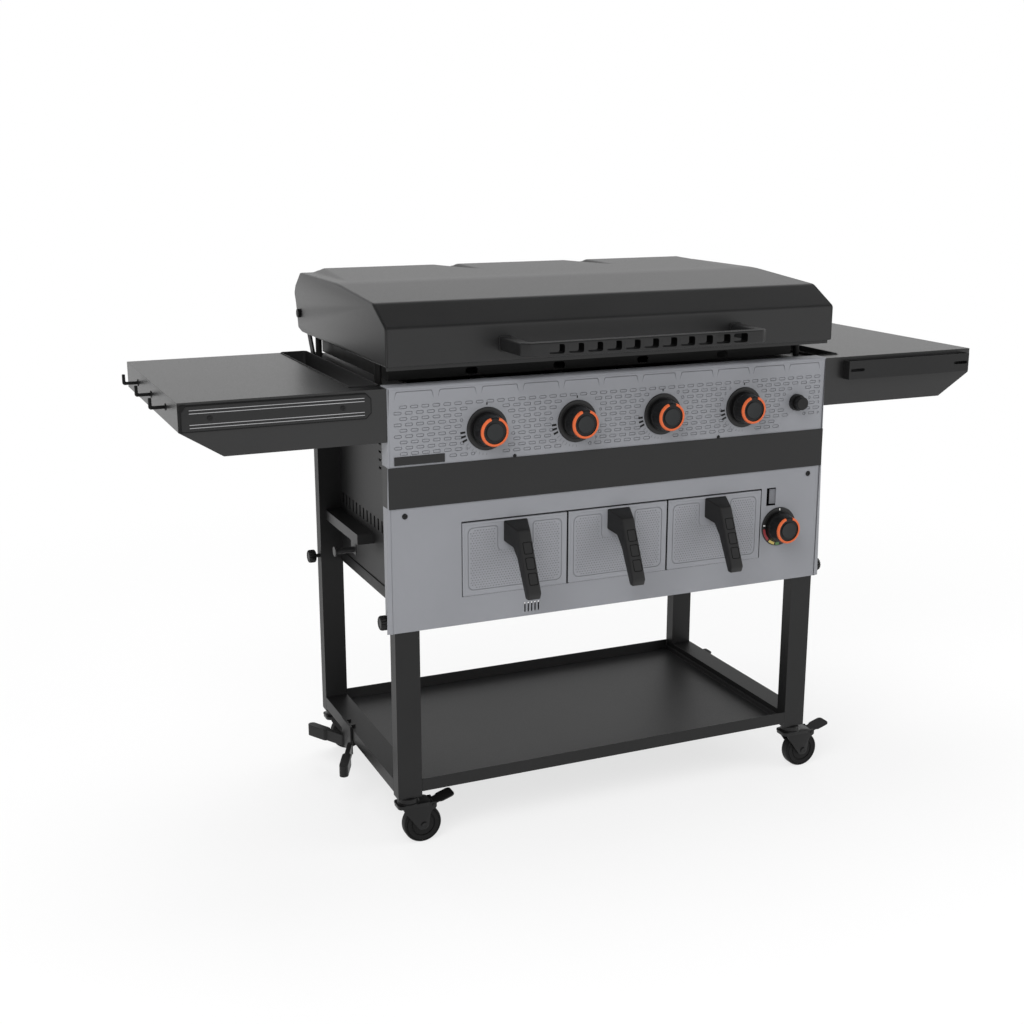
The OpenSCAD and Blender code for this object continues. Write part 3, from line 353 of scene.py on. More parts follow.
class Press:
    """A flat sheet in two dimensions, cut by holes and pressed by loops at given depths."""

    def __init__(self, outer):
        self.points = []
        self.depths = []
        self.edges = []
        self.faces = []
        self.outer = self.loop(outer, 0.0)
        self.faces.append(self.outer)

    def loop(self, outline, depth):
        first = len(self.points)
        self.points.extend(Vector(p) for p in outline)
        self.depths.extend([depth] * len(outline))
        ids = list(range(first, first + len(outline)))
        self.edges.extend(zip(ids, ids[1:] + ids[:1]))
        return ids

    def hole(self, outline):
        self.faces.append(self.loop(outline, 0.0))

    def dot(self, x, z, radius, depth, count):
        self.loop(circle(x, z, radius, count), 0.0)
        self.points.append(Vector((x, z)))
        self.depths.append(depth)

    def build(self):
        """Triangles and depths, and where each given point ended up."""
        made = delaunay_2d_cdt(self.points, self.edges, self.faces, 1, 0.0001)
        places, _, triangles, sources, _, owners = made
        depths = [self.depths[s[0]] if s else 0.0 for s in sources]
        index = {g: out for out, given in enumerate(sources) for g in given}
        kept = [list(t) for t, own in zip(triangles, owners) if own and max(own) == 0]
        return [(p[0], p[1], d) for p, d in zip(places, depths)], kept, index


def fold(points, faces, chain, outwards, radius, depth, steps=3):
    """Bends the sheet back along a chain of its edge points. Points are (x, z, depth)."""
    near = chain
    for k in range(1, steps + 2):
        a = math.pi / 2 * min(k, steps) / steps
        out = radius * math.sin(a)
        far = []
        for p, (u, v) in zip(chain, outwards):
            x, z, d = points[p]
            far.append(len(points))
            back = d + radius * (1 - math.cos(a)) if k <= steps else depth
            points.append((x + u * out, z + v * out, back))
        for i in range(len(chain) - 1):
            faces.append([near[i], near[i + 1], far[i + 1], far[i]])
        near = far


def along_x(u, v, w):
    return w, u, v


def along_y(u, v, w):
    return u, w, v


def along_z(u, v, w):
    return u, v, w


def skin(loops, place, wrap=False, caps=False):
    """Quads through a chain of (outline, level) loops. place() sets (u, v, level) in the panel's frame."""
    n = len(loops[0][0])
    count = len(loops)
    points = [place(u, v, level) for outline, level in loops for u, v in outline]
    faces = []
    for k in range(count if wrap else count - 1):
        low, high = k * n, (k + 1) % count * n
        faces += [[low + i, low + (i + 1) % n, high + (i + 1) % n, high + i] for i in range(n)]
    if caps:
        faces += [list(range(n)), [(count - 1) * n + i for i in range(n)]]
    return points, faces


def turned(place, profile, count=64, lobes=0, lobe_depth=0.0, ring=False):
    """A turned solid or ring from (radius, reach) pairs. place() sets (u, v, reach) in the panel's frame."""
    points, faces, rings = [], [], []
    widest = max(radius for radius, _ in profile)
    for radius, reach in profile:
        wave = lobe_depth if radius > 0.8 * widest else 0.0
        n = count if radius > 0 else 1
        rings.append(range(len(points), len(points) + n))
        for i in range(n):
            a = 2 * math.pi * i / count
            r = radius - wave * (0.5 - 0.5 * math.cos(lobes * a))
            points.append(place(r * math.cos(a), r * math.sin(a), reach))
    if ring:
        rings.append(rings[0])
    for low, high in zip(rings, rings[1:]):
        for i in range(count):
            j = (i + 1) % count
            corners = [low[i % len(low)], low[j % len(low)], high[j % len(high)], high[i % len(high)]]
            faces.append(list(dict.fromkeys(corners)))
    return points, faces


def lathe(cx, cy, cz, profile, count=64, ring=False):
    """A turned solid with its axis along Y, its reach counted towards the front."""
    return turned(lambda u, v, w: (cx + u, cy - w, cz + v), profile, count, ring=ring)


def joined(parts):
    """One shape out of several."""
    points, faces = [], []
    for more_points, more_faces in parts:
        start = len(points)
        points.extend(more_points)
        faces.extend([[i + start for i in f] for f in more_faces])
    return points, faces


def prism(outline, y0, y1):
    """A closed solid between two planes of constant Y, from an (x, z) outline."""
    return skin([(outline, y0), (outline, y1)], along_y, caps=True)


def slab(outline, z0, z1):
    """A closed solid between two heights, from an (x, y) outline."""
    return skin([(outline, z0), (outline, z1)], along_z, caps=True)


def band_ring(outer, inner, y0, y1):
    """A ring between two outlines and two planes of constant Y."""
    return skin([(outer, y0), (outer, y1), (inner, y1), (inner, y0)], along_y, wrap=True)


def rounded(outline, radii, steps=4):
    """A closed outline with its corners rounded, one radius a corner."""
    start = Vector(outline[-1]).lerp(Vector(outline[0]), 0.5)
    path = [tuple(start)] + list(outline) + [tuple(start)]
    return fillet(path, radii, steps)[:-1]


def carve(cutter_parts, before=None, shade_lining=None):
    """A step that cuts the joined parts out of a piece. Where a material for the cut is given, the cut's
    walls take it: near-black painted shade.
    """
    mesh = mesh_of("cutter", joined(cutter_parts))
    recalc(mesh)
    cutter = placed("cutter", mesh)
    if shade_lining:
        mesh.materials.append(shade_lining)

    def add(obj):
        if before:
            before(obj)
        cut = obj.modifiers.new("cut", "BOOLEAN")
        cut.operation = "DIFFERENCE"
        cut.solver = "EXACT"
        cut.object = cutter
        if shade_lining:
            cut.material_mode = "TRANSFER"
    return add


def dress(node, material, width=0.7, segments=2):
    """Keeps a CAD node, with rounded edges and its own finish."""
    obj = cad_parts[node]
    obj.data.materials.clear()
    obj.data.materials.append(material)
    weld = obj.modifiers.new("weld", "WELD")
    weld.merge_threshold = 0.00002
    flat = obj.modifiers.new("flat", "DECIMATE")
    flat.decimate_type = "DISSOLVE"
    flat.angle_limit = math.radians(0.5)
    bevelled(width, segments)(obj)
    obj.modifiers["bevel"].harden_normals = True
    weighted = obj.modifiers.new("even", "WEIGHTED_NORMAL")
    weighted.keep_sharp = True
    for polygon in obj.data.polygons:
        polygon.use_smooth = True


# Front panel: a folded sheet with pressed slots, recesses, vents and the drawers' opening

PANEL_X = 462.0
PANEL_LOW = 430.0
PANEL_TOP = 884.0
SHEET = 1.6
FOLD = 33.0
BEND = 2.2
KNOB_X = [-273.15, -91.05, 91.05, 273.15]
KNOB_Z = 798.5
KNOB_BORE = 10.0
FRYER_X = 368.0
FRYER_Z = 546.0
IGNITER_X = 396.0
IGNITER_Z = 800.0
DRAWERS_X = 324.9
DRAWERS_LOW = 483.7
DRAWERS_TOP = 628.4
DRAWERS_MID = (DRAWERS_LOW + DRAWERS_TOP) / 2
DRAWERS_TALL = DRAWERS_TOP - DRAWERS_LOW
WINDOW_X = 348.0
WINDOW_Z = 609.5
LOUVRE_N = 11
LOUVRE_PITCH = 82.5
LOUVRE_Z = (861.5, 877.2)
LOUVRE_HALF = (37.3, 34.6)
LOUVRE_CORNER = 4.0
BRICK_L = 14.5
BRICK_H = 6.0
BRICK_PITCH = (20.9, 10.5)
BRICK_TOP = 849.0
BRICK_ROWS = 10
BRICK_X = (-451.0, 452.0)
BRICK_LEAST = 3.6
BARE_LEFT = (-350.0, 762.0)
BARE_RIGHT = (352.0, 774.0)
SLOT_X = -196.5
SLOT_PITCH = 7.0
SLOT_Z = 447.5


def louvre(press, x):
    """A field that is flush along its lower edge, with a groove along its other three sides."""
    z0, z1 = LOUVRE_Z
    foot, top = LOUVRE_HALF
    path = [(x - foot, z0), (x + foot, z0), (x + top, z1), (x - top, z1), (x - foot, z0)]
    rim = fillet(path, [0.0, LOUVRE_CORNER, LOUVRE_CORNER], 4)[:-1]
    ids = press.loop(rim, 0.0)
    for away, low, deep in ((0.7, 0.5, 1.35), (1.6, 0.05, 0.5)):
        inner = inset(rim, away)
        chain = []
        for x_in, z_in in inner[2:]:
            share = (z_in - z0) / (z1 - z0)
            chain.append(len(press.points))
            press.points.append(Vector((x_in, z_in)))
            press.depths.append(low + (deep - low) * share)
        press.edges.extend(zip([ids[1]] + chain, chain + [ids[0]]))


def clear_of(x0, x1, z, round_fields):
    """The run from x0 to x1 at height z, cut back from each (x, z, radius) field that it meets."""
    for cx, cz, r in round_fields:
        reach = r * r - (z - cz) ** 2
        if reach <= 0:
            continue
        reach = math.sqrt(reach)
        if x0 < cx + reach and x1 > cx - reach:
            if (x0 + x1) / 2 < cx:
                x1 = min(x1, cx - reach)
            else:
                x0 = max(x0, cx + reach)
    return x0, x1


def brick_rows(press):
    """Rows of small pressed slots, kept clear of the knobs, the igniter and the bare fields."""
    fields = [(x, KNOB_Z, 50.0) for x in KNOB_X] + [(IGNITER_X, IGNITER_Z, 30.0)]
    first, last = BRICK_X
    for j in range(BRICK_ROWS):
        z = BRICK_TOP - j * BRICK_PITCH[1]
        start = first + (0.0 if j % 2 else BRICK_PITCH[0] / 2)
        for i in range(math.floor((last - start) / BRICK_PITCH[0]) + 1):
            x0 = start + i * BRICK_PITCH[0]
            if z < BARE_LEFT[1] and x0 < BARE_LEFT[0] or z < BARE_RIGHT[1] and x0 > BARE_RIGHT[0]:
                continue
            x0, x1 = clear_of(x0, min(x0 + BRICK_L, last), z, fields)
            w = x1 - x0
            if w < BRICK_LEAST:
                continue
            brick = rounded_box((x0 + x1) / 2, z, w, BRICK_H, min(2.4, w / 2 - 0.3), 2)
            press.loop(brick, 0.0)
            press.loop(inset(brick, 0.5), 1.2)
            if w > 5.0:
                press.loop(inset(brick, 1.15), 0.35)


def front_panel():
    edge, top = PANEL_X - BEND, PANEL_TOP - BEND
    press = Press([(-edge, PANEL_LOW), (edge, PANEL_LOW), (edge, top), (-edge, top)])
    for x in KNOB_X:
        press.hole(circle(x, KNOB_Z, KNOB_BORE))
    press.hole(circle(FRYER_X, FRYER_Z, KNOB_BORE))
    press.hole(circle(IGNITER_X, IGNITER_Z, 10.2))
    press.hole(rounded_box(0, DRAWERS_MID, 2 * DRAWERS_X, DRAWERS_TALL, 1.5))
    for i in range(5):
        press.hole(rounded_box(SLOT_X + SLOT_PITCH * i, SLOT_Z, 3.0, 19.0, 1.4))
    press.hole(rounded_box(WINDOW_X, WINDOW_Z, 22.0, 37.0, 1.2))
    for i in range(LOUVRE_N):
        louvre(press, (i - LOUVRE_N // 2) * LOUVRE_PITCH)
    brick_rows(press)
    flat, faces, index = press.build()
    points = list(flat)
    corner = [index[i] for i in press.outer]
    chain = [corner[1], corner[2], corner[3], corner[0]]
    fold(points, faces, chain, [(1, 0), (1, 1), (-1, 1), (-1, 0)], BEND, FOLD)
    return [(x, d, z) for x, z, d in points], faces


# The walls of the pressed slots, louvres and grooves take the darker grey: painted shade in the creases.
piece("panel_skin", front_panel(), panel_coat, "cart", ["front_panel"], thicken(SHEET), False,
      (grey_painted_shade, -458.0, 458.0, 435.0, 880.5))


def cup(x, z, width, height, y0, y1, wall):
    """An open box that faces the front."""
    outer = rounded_box(x, z, width, height, 1.5, 2)
    inner = rounded_box(x, z, width - 2 * wall, height - 2 * wall, 1.0, 2)
    return skin([(outer, y1), (outer, y0), (inner, y0), (inner, y1 - wall)], along_y, caps=True)


# The window's pocket is near black: painted shade.
window = cup(WINDOW_X + 0.5, WINDOW_Z, 30.0, 43.0, 1.6, 11.2, 1.2)
piece("window_cup", window, black_painted_shade, "cart", ["fryer_window"])
# The flap behind the window is a darker grey than the panel: painted shade, as it lies in shadow.
flap = slab([(346.4, 4.4), (361.9, 1.65), (361.9, 3.0), (346.4, 5.8)], 594.0, 624.6)
piece("window_flap", flap, grey_painted_shade, "cart", (), bevelled(0.25, 2))


# Air-fryer drawers

DRAWER_PITCH = 216.6
DRAWER_X = [-DRAWER_PITCH, 0.0, DRAWER_PITCH]
MULLION_W = 2.6
FRONT_X = 105.9
FRONT_Z0 = 484.7
FRONT_Z1 = 623.9
BASKET_X = 100.05
BASKET_BACK = 300.0
BASKET_TOP = 611.9
FIELD_X = FRONT_X - 10.5
FIELD_Z0 = FRONT_Z0 + 10.0
FIELD_Z1 = FRONT_Z1 - 9.5
NOTCH_X = 36.0
NOTCH_TALL = 48.0
FIELD_ROUND = 9.0
DOT_PITCH = 5.6


def field_outline(grow):
    """The groove's outline: a rounded field with a notch at the top for the handle."""
    x1, z0, z1 = FIELD_X + grow, FIELD_Z0 - grow, FIELD_Z1 + grow
    notch_x, notch_z = NOTCH_X - grow, z1 - NOTCH_TALL - grow
    corner, inner = 11.0, 8.0
    path = [(0, z0), (x1, z0), (x1, z1), (notch_x, z1), (notch_x, notch_z), (0, notch_z)]
    right = fillet(path, [corner, corner, inner * 0.8, inner], 5)
    left = [(-x, z) for x, z in reversed(right[1:-1])]
    return right + left


def in_field(x, z, margin):
    """Whether a dot lies inside the groove, at least a margin away from it."""
    x1, z0, z1 = FIELD_X - margin, FIELD_Z0 + margin, FIELD_Z1 - margin
    if abs(x) > x1 or z < z0 or z > z1:
        return False
    if abs(x) < NOTCH_X + margin and z > z1 - NOTCH_TALL + margin:
        return False
    dx = abs(x) - (x1 - FIELD_ROUND)
    dz = max(z - (z1 - FIELD_ROUND), (z0 + FIELD_ROUND) - z)
    return not (dx > 0 and dz > 0 and math.hypot(dx, dz) > FIELD_ROUND)


def drawer_front(cx):
    r = 1.6
    x1, z0, z1 = FRONT_X - r, FRONT_Z0 + r, FRONT_Z1 - r
    press = Press([(-x1, z0), (x1, z0), (x1, z1), (-x1, z1)])
    for grow, depth in ((0.95, 0.0), (0.35, 1.1), (-0.35, 1.1), (-0.95, 0.0)):
        press.loop(field_outline(grow), depth)
    for j in range(25):
        for i in range(-19, 20):
            x = (i + 0.5 * (j % 2)) * DOT_PITCH
            z = FRONT_Z0 + 14.5 + j * DOT_PITCH * 0.85
            if in_field(x, z, 4.5):
                press.dot(x, z, 1.35, 1.3, 8)
    flat, faces, index = press.build()
    points = list(flat)
    corner = [index[i] for i in press.outer]
    chain = corner + [corner[0]]
    outs = [(-1, -1), (1, -1), (1, 1), (-1, 1), (-1, -1)]
    fold(points, faces, chain, outs, r, 12.0)
    return [(x + cx, d, z) for x, z, d in points], faces


def perforated(width, height, holes, place, over=False):
    """A flat sheet with holes, from (u0, u1) and (v0, v1), set by place(). over turns its faces round."""
    (u0, u1), (v0, v1) = width, height
    press = Press([(u0, v0), (u1, v0), (u1, v1), (u0, v1)])
    for hole in holes:
        press.hole(hole)
    flat, faces, _ = press.build()
    return [place(u, v) for u, v, _ in flat], [f[::-1] if over else f for f in faces]


def basket(cx):
    """A perforated basket: slotted sides and back, and a bottom of round holes."""
    y0, y1 = 13.0, BASKET_BACK
    z0, z1 = FRONT_Z0 + 0.6, BASKET_TOP - 4.0
    x1 = BASKET_X - 0.6
    wide, long, tall = (-x1, x1), (y0, y1), (z0, z1)
    sides = [rounded_box(y0 + 24 + i * 21, z0 + 26 + j * 24, 13.0, 4.0, 1.9, 2) for i in range(13)
             for j in range(4)]
    holes = [circle(-78 + 13 * i, y0 + 18 + 13 * j, 3.2, 10) for i in range(13) for j in range(21)]
    slots = [rounded_box(-76 + 19 * i, z0 + 26 + 24 * j, 4.0, 13.0, 1.9, 2) for i in range(9)
             for j in range(4)]
    return joined([perforated(long, tall, sides, lambda u, v: (cx - x1, u, v)),
                   perforated(long, tall, sides, lambda u, v: (cx + x1, u, v), True),
                   perforated(wide, long, holes, lambda u, v: (cx + u, v, z0), True),
                   perforated(wide, tall, slots, lambda u, v: (cx + u, y1, v), True),
                   perforated(wide, tall, [], lambda u, v: (cx + u, y0, v))])


def rim_tube(cx, radius=2.2):
    """The rolled rim round the basket's top."""
    y0, y1 = 13.0 + radius, BASKET_BACK - radius
    loop = rounded_box(0, (y0 + y1) / 2, 2 * (BASKET_X - radius), y1 - y0, 6.0, 4)
    n = len(loop)

    def place(u, v, i):
        run = Vector(loop[(i + 1) % n]) - Vector(loop[i - 1])
        side = Vector((run.y, -run.x)).normalized() * u
        return cx + loop[i][0] + side.x, loop[i][1] + side.y, BASKET_TOP - 3.0 + v

    return skin([(circle(0.0, 0.0, radius, 8), i) for i in range(n)], place, wrap=True)


def drawer_handle(cx):
    """The leaning drawer handle, narrow below its root, before its edges are rounded."""
    top = FRONT_Z1 - 1.0
    nose = 39.0
    path = [(0, top), (-nose, top - 12), (-90, top - 122), (-86, top - 133), (-75, top - 133),
            (-nose, top - 69.5), (-26, top - 47), (0, top - 40)]

    def half(y):
        return 24.75 + (13.0 - 24.75) * min(1.0, -y / nose)

    n = len(path)
    points = [(cx + side * half(y), y, z) for side in (-1, 1) for y, z in path]
    faces = [[i, (i + 1) % n, n + (i + 1) % n, n + i] for i in range(n)]
    for part in ([0, 1, 5, 6, 7], [1, 2, 3, 4, 5]):
        faces += [part[::-1], [n + i for i in part]]
    return points, faces


def frame_cutter(cx, centre, lean, width, height, line, depth):
    """A thin square tube that cuts an outline into the handle's leaning face."""
    outer = rounded_box(0, 0, width, height, 3.0, 3)
    inner = rounded_box(0, 0, width - 2 * line, height - 2 * line, 2.2, 3)
    along = Vector((math.cos(lean), math.sin(lean)))
    out = Vector((-math.sin(lean), math.cos(lean)))

    def place(u, v, level):
        return cx + u, *(centre + along * v + out * level)

    return skin([(outer, 4.0), (outer, -depth), (inner, -depth), (inner, 4.0)], place, wrap=True)


# The drawers' opening and the mullions are lined near black: painted shade in the gaps.
opening = rounded_box(0.0, DRAWERS_MID, 2 * DRAWERS_X, DRAWERS_TALL, 1.5, 3)
frame_parts = [band_ring(opening, inset(opening, 1.1), 0.1, 12.0)]
for x in (-DRAWER_PITCH / 2, DRAWER_PITCH / 2):
    mullion = rounded_box(x, DRAWERS_MID, MULLION_W, DRAWERS_TALL - 2.4, 0.5, 1)
    frame_parts.append(prism(mullion, 0.1, 12.0))
piece("opening_liner", joined(frame_parts), black_painted_shade, "cart")
front_mid, front_tall = (FRONT_Z0 + FRONT_Z1) / 2, FRONT_Z1 - FRONT_Z0
grip_low = Vector((-90.0, FRONT_Z1 - 123.0))
grip_high = Vector((-39.0, FRONT_Z1 - 13.0))
lean = math.atan2(*(grip_high - grip_low).yx)
for number, cx in enumerate(DRAWER_X, 1):
    body = f"drawer_{number}"
    # The walls of the front's groove and dots take the darker grey: painted shade.
    field = (soft_painted_shade, cx - 103.5, cx + 103.5, FRONT_Z0 + 2.5, FRONT_Z1 - 2.5)
    piece(f"drawer_front_{number}", drawer_front(cx), grey_coat, body, [body], thicken(1.2),
          False, field)
    # A near-black ring in the gap round each front: painted shade.
    outer = rounded_box(cx, front_mid, 2 * FRONT_X + 1.4, front_tall + 0.7, 2.0, 3)
    inner = rounded_box(cx, front_mid - 0.6, 2 * FRONT_X - 2.4, front_tall - 1.8, 1.6, 3)
    gap_shade = band_ring(outer, inner, -0.15, 12.6)
    piece(f"drawer_gap_shade_{number}", gap_shade, black_painted_shade, body)
    piece(f"basket_{number}", basket(cx), plain_steel, body, (), thicken(0.9), False)
    piece(f"basket_rim_{number}", rim_tube(cx), plain_steel, body)
    # Three outlines cut into the handle's face, their walls near black: painted shade in the grooves.
    frames = [frame_cutter(cx + 1.5, grip_low.lerp(grip_high, share), lean, 18.0, 23.0, 1.2, 1.3)
              for share in (0.24, 0.48, 0.72)]
    cut = carve(frames, bevelled(2.6, 4, 25.0), black_painted_shade)
    handle = [f"drawer_handle_{number}"]
    piece(f"grip_{number}", drawer_handle(cx), grip_moulding, body, handle, cut)


# Knobs, bezels and their marks

def arc_sweep(cx, cz, section, a0, a1, steps=48):
    """A closed (radius, y) section swept round a centre from angle a0 to a1."""
    stations = [(section, a0 + (a1 - a0) * k / steps) for k in range(steps + 1)]
    return skin(stations, lambda r, y, a: (cx + r * math.cos(a), y, cz + r * math.sin(a)), caps=True)


KNOB_BACK = -3.4
KNOB_FACE = 35.6
KNOB_FRONT_R = 26.6
RING_GAP = math.asin(7.5 / 24.5)


def knob_profile():
    """The knob's (radius, reach) from its bore to the middle of its sunk face."""
    body = [(4.05, 8.0), (4.05, 0.0), (30.2, 0.0), (31.0, 0.8), (30.7, 9.0), (29.9, 9.6),
            (KNOB_FRONT_R, 32.6)]
    for k in range(1, 5):
        a = math.pi / 2 * k / 4
        body.append((KNOB_FRONT_R - 2.0 * (1 - math.cos(a)), 32.6 + 2.6 * math.sin(a)))
    return body + below_face([(24.4, 0.1), (22.3, 0.2), (21.7, 1.9), (16.6, 2.2), (0.0, 2.2)])


def below_face(profile):
    """A profile given by its depth below the knob's face."""
    return [(r, KNOB_FACE - depth) for r, depth in profile]


def knob(name, cx, cz, body):
    piece(name, lathe(cx, KNOB_BACK, cz, knob_profile(), 72), knob_moulding, body, [body],
          closed=False)
    section = [(-4.4, 1.4), (-4.4, -0.2), (-4.0, -0.55), (-1.8, -0.55), (-0.8, -0.1), (0.0, 0.9),
               (0.45, 2.1), (0.5, 3.4), (0.1, 3.6), (-1.0, 3.4), (-2.6, 2.2)]
    section = [(KNOB_FRONT_R + r, KNOB_BACK - KNOB_FACE + y) for r, y in section]
    start = math.pi / 2 + RING_GAP
    ring = arc_sweep(cx, cz, section, start, start + 2 * math.pi - 2 * RING_GAP, 72)
    piece(name + "_ring", ring, orange, body)
    cap = [(0.0, 2.4), (16.3, 2.4), (16.3, 0.7), (15.8, 0.1), (14.7, 0.1), (8.0, 0.9), (0.0, 1.1)]
    cap = below_face(cap)
    piece(name + "_cap", lathe(cx, KNOB_BACK, cz, cap, 64), cap_moulding, body)


bezel = [(8.0, 0.0), (39.6, 0.0), (40.0, 0.4), (40.0, 1.7), (39.2, 2.7), (38.0, 3.0), (33.4, 3.0),
         (32.8, 2.5), (8.0, 2.5), (8.0, 0.0)]
dials = [(x, KNOB_Z) for x in KNOB_X] + [(FRYER_X, FRYER_Z)]
bezels = joined([lathe(x, 0.0, z, bezel, 96) for x, z in dials])
piece("bezel_discs", bezels, bezel_finish, "cart", ["knob_bezels"], closed=False)
for number, x in enumerate(KNOB_X, 1):
    knob(f"knob_{number}", x, KNOB_Z, f"burner_knob_{number}")
knob("knob_fryer", FRYER_X, FRYER_Z, "fryer_knob")

MARK = 0.12


def spoke(cx, cz, degrees, r, length, width):
    """A short bar that points at a dial's centre."""
    a = math.radians(degrees)
    u = Vector((math.cos(a), math.sin(a)))
    v = Vector((-u.y, u.x))
    c = Vector((cx, cz)) + u * r
    ends = ((-0.5, -0.5), (0.5, -0.5), (0.5, 0.5), (-0.5, 0.5))
    return [tuple(c + u * length * i + v * width * j) for i, j in ends]


dashes, faint = [], []
for x in KNOB_X:
    for degrees in (185.0, 194.5, 204.0):
        dashes.append(prism(spoke(x, KNOB_Z, degrees, 47.5, 9.6, 3.9), -MARK, 0.0))
    dashes.append(prism(spoke(x, KNOB_Z, 90.0, 46.0, 4.5, 2.4), -MARK, 0.0))
    for k in range(7):
        degrees = 215.0 + 9.0 * k
        faint.append(prism(spoke(x, KNOB_Z, degrees, 47.0, 6.5 - 0.4 * k, 1.0), -MARK, 0.0))
piece("burner_marks", joined(dashes), mark_black, "cart")
piece("burner_scale", joined(faint), mark_grey, "cart")

FRYER_FACE = (-3.2, -2.9)
FRYER_MARKS = (
    ("red", 184, 225, mark_red),
    ("yellow", 231, 254, mark_yellow),
    ("green", 259, 273, mark_green),
)
front, back = FRYER_FACE
for name, a0, a1, paint in FRYER_MARKS:
    section = [(33.0, back), (33.0, front), (38.3, front), (38.3, back)]
    mark = arc_sweep(FRYER_X, FRYER_Z, section, math.radians(a0), math.radians(a1), 24)
    piece("fryer_mark_" + name, mark, paint, "cart")
ticks = [prism(spoke(FRYER_X, FRYER_Z, a, 36.0, 4.4, 2.4), *FRYER_FACE) for a in (90.0, 172.0)]
piece("fryer_ticks", joined(ticks), mark_white, "cart")


# Hood: one folded sheet with a raised, creased top, between two drawn end caps

HOOD_X = 467.0
HOOD_LOW = 922.0
HOOD_FRONT = -10.0
RIM = 1044.0
HOOD_T = 1.6
SKIN_X = 463.4
hood_path = [(-1.0, 914.5), (-1.0, HOOD_LOW), (HOOD_FRONT, HOOD_LOW), (HOOD_FRONT, 990.0), (58.0, 1027.0),
             (275.0, RIM), (531.0, RIM), (570.0, 1016.0), (581.0, 999.0), (571.0, 978.0)]
hood_line = fillet(hood_path, [0.8, 2.0, 8.0, 30.0, 600.0, 10.0, 10.0, 10.0], 8)


def along_line(line, spacing):
    """The same line with more points on its long runs."""
    out = [line[0]]
    for a, b in zip(line, line[1:]):
        a, b = Vector(a), Vector(b)
        n = max(1, math.ceil((b - a).length / spacing))
        out += [tuple(a.lerp(b, k / n)) for k in range(1, n + 1)]
    return out


RIDGE = 8.8
RIDGE_SINK = 0.8
RIDGE_Y = (275.0, 524.0, 531.0)
RIDGE_X = 440.0
RIDGE_SIDE = 22.0
VALLEY_X = (-146.0, 162.0)
VALLEY_Y = (400.0, 532.0)
VALLEY_SKEW = 42.0
VALLEY_FLOOR = 4.42
VALLEY_RISE = 9.0
VALLEY_STEEP = 23.0
VALLEY_GENTLE = 37.0
CREASE = 0.4


def least(values, softness):
    """The smallest value, with the change from one to the next rounded off."""
    low = min(values)
    return low - softness * math.log(sum(math.exp((low - v) / softness) for v in values))


def pressed(x, y):
    """How far the hood's top stands above its folded line."""
    if y < RIDGE_Y[0] or y > RIDGE_Y[2]:
        return 0.0
    front = RIDGE * (y - RIDGE_Y[0]) / (RIDGE_Y[1] - RIDGE_Y[0])
    back = RIDGE * (RIDGE_Y[2] - y) / (RIDGE_Y[2] - RIDGE_Y[1])
    side = RIDGE * (RIDGE_X - abs(x)) / RIDGE_SIDE
    sides = [front - RIDGE_SINK, back, side - RIDGE_SINK]
    share = (y - VALLEY_Y[0]) / (VALLEY_Y[1] - VALLEY_Y[0])
    if share > 0:
        for valley in VALLEY_X:
            off = x - (valley + VALLEY_SKEW * (1 - share))
            slope = VALLEY_RISE / (VALLEY_STEEP if off > 0 else VALLEY_GENTLE)
            sides.append(VALLEY_FLOOR * (1 - share) + abs(off) * slope)
    height = least(sides, CREASE)
    return CREASE * math.log(1.0 + math.exp(min(60.0, height / CREASE)))


def hood_skin():
    """The folded sheet as a fine grid, its top pressed up."""
    line = along_line(hood_line, 5.0)
    count = 220
    m = count + 1
    xs = [-SKIN_X + 2 * SKIN_X * i / count for i in range(m)]
    points = [(x, y, z + (pressed(x, y) if z > RIM - 1.0 else 0.0)) for y, z in line for x in xs]
    starts = [j * m + i for j in range(len(line) - 1) for i in range(count)]
    return points, [[a, a + 1, a + m + 1, a + m] for a in starts]


piece("hood_skin", hood_skin(), hood_coat, "hood", ["hood_shell"], thicken(HOOD_T), False)

PIN_Y = 543.0
PIN_Z = 960.0
FLANGE_X = 447.0
cap_path = [(532.0, HOOD_LOW), (559.0, 928.0)] + hood_path[:1:-1]
cap_line = rounded(cap_path, [6.0, 6.0, 10.0, 10.0, 10.0, 10.0, 600.0, 30.0, 8.0, 3.0], 8)


def hood_cap(side):
    """A drawn end cap: a flat face, a rounded edge and a flange tucked under the skin."""
    levels = [(3.2, HOOD_X), (1.7, HOOD_X - 0.3), (0.6, HOOD_X - 1.3), (0.1, HOOD_X - 2.6),
              (0.1, SKIN_X + 0.5), (1.75, SKIN_X + 0.4), (1.75, FLANGE_X), (3.2, FLANGE_X),
              (3.2, HOOD_X - 3.0), (4.2, HOOD_X - 1.6)]
    return skin([(inset(cap_line, amount), side * x) for amount, x in levels], along_x, caps=True)


pin_bore = [(0, 440), (5.3, 440), (5.3, 480), (0, 480)]
for name, side in SIDES:
    bore = turned(lambda u, v, w: (side * w, PIN_Y + u, PIN_Z + v), pin_bore, 32)
    stands_for = ["hood_ends"] if side < 0 else ()
    piece("hood_cap_" + name, hood_cap(side), hood_coat, "hood", stands_for, carve([bore]))

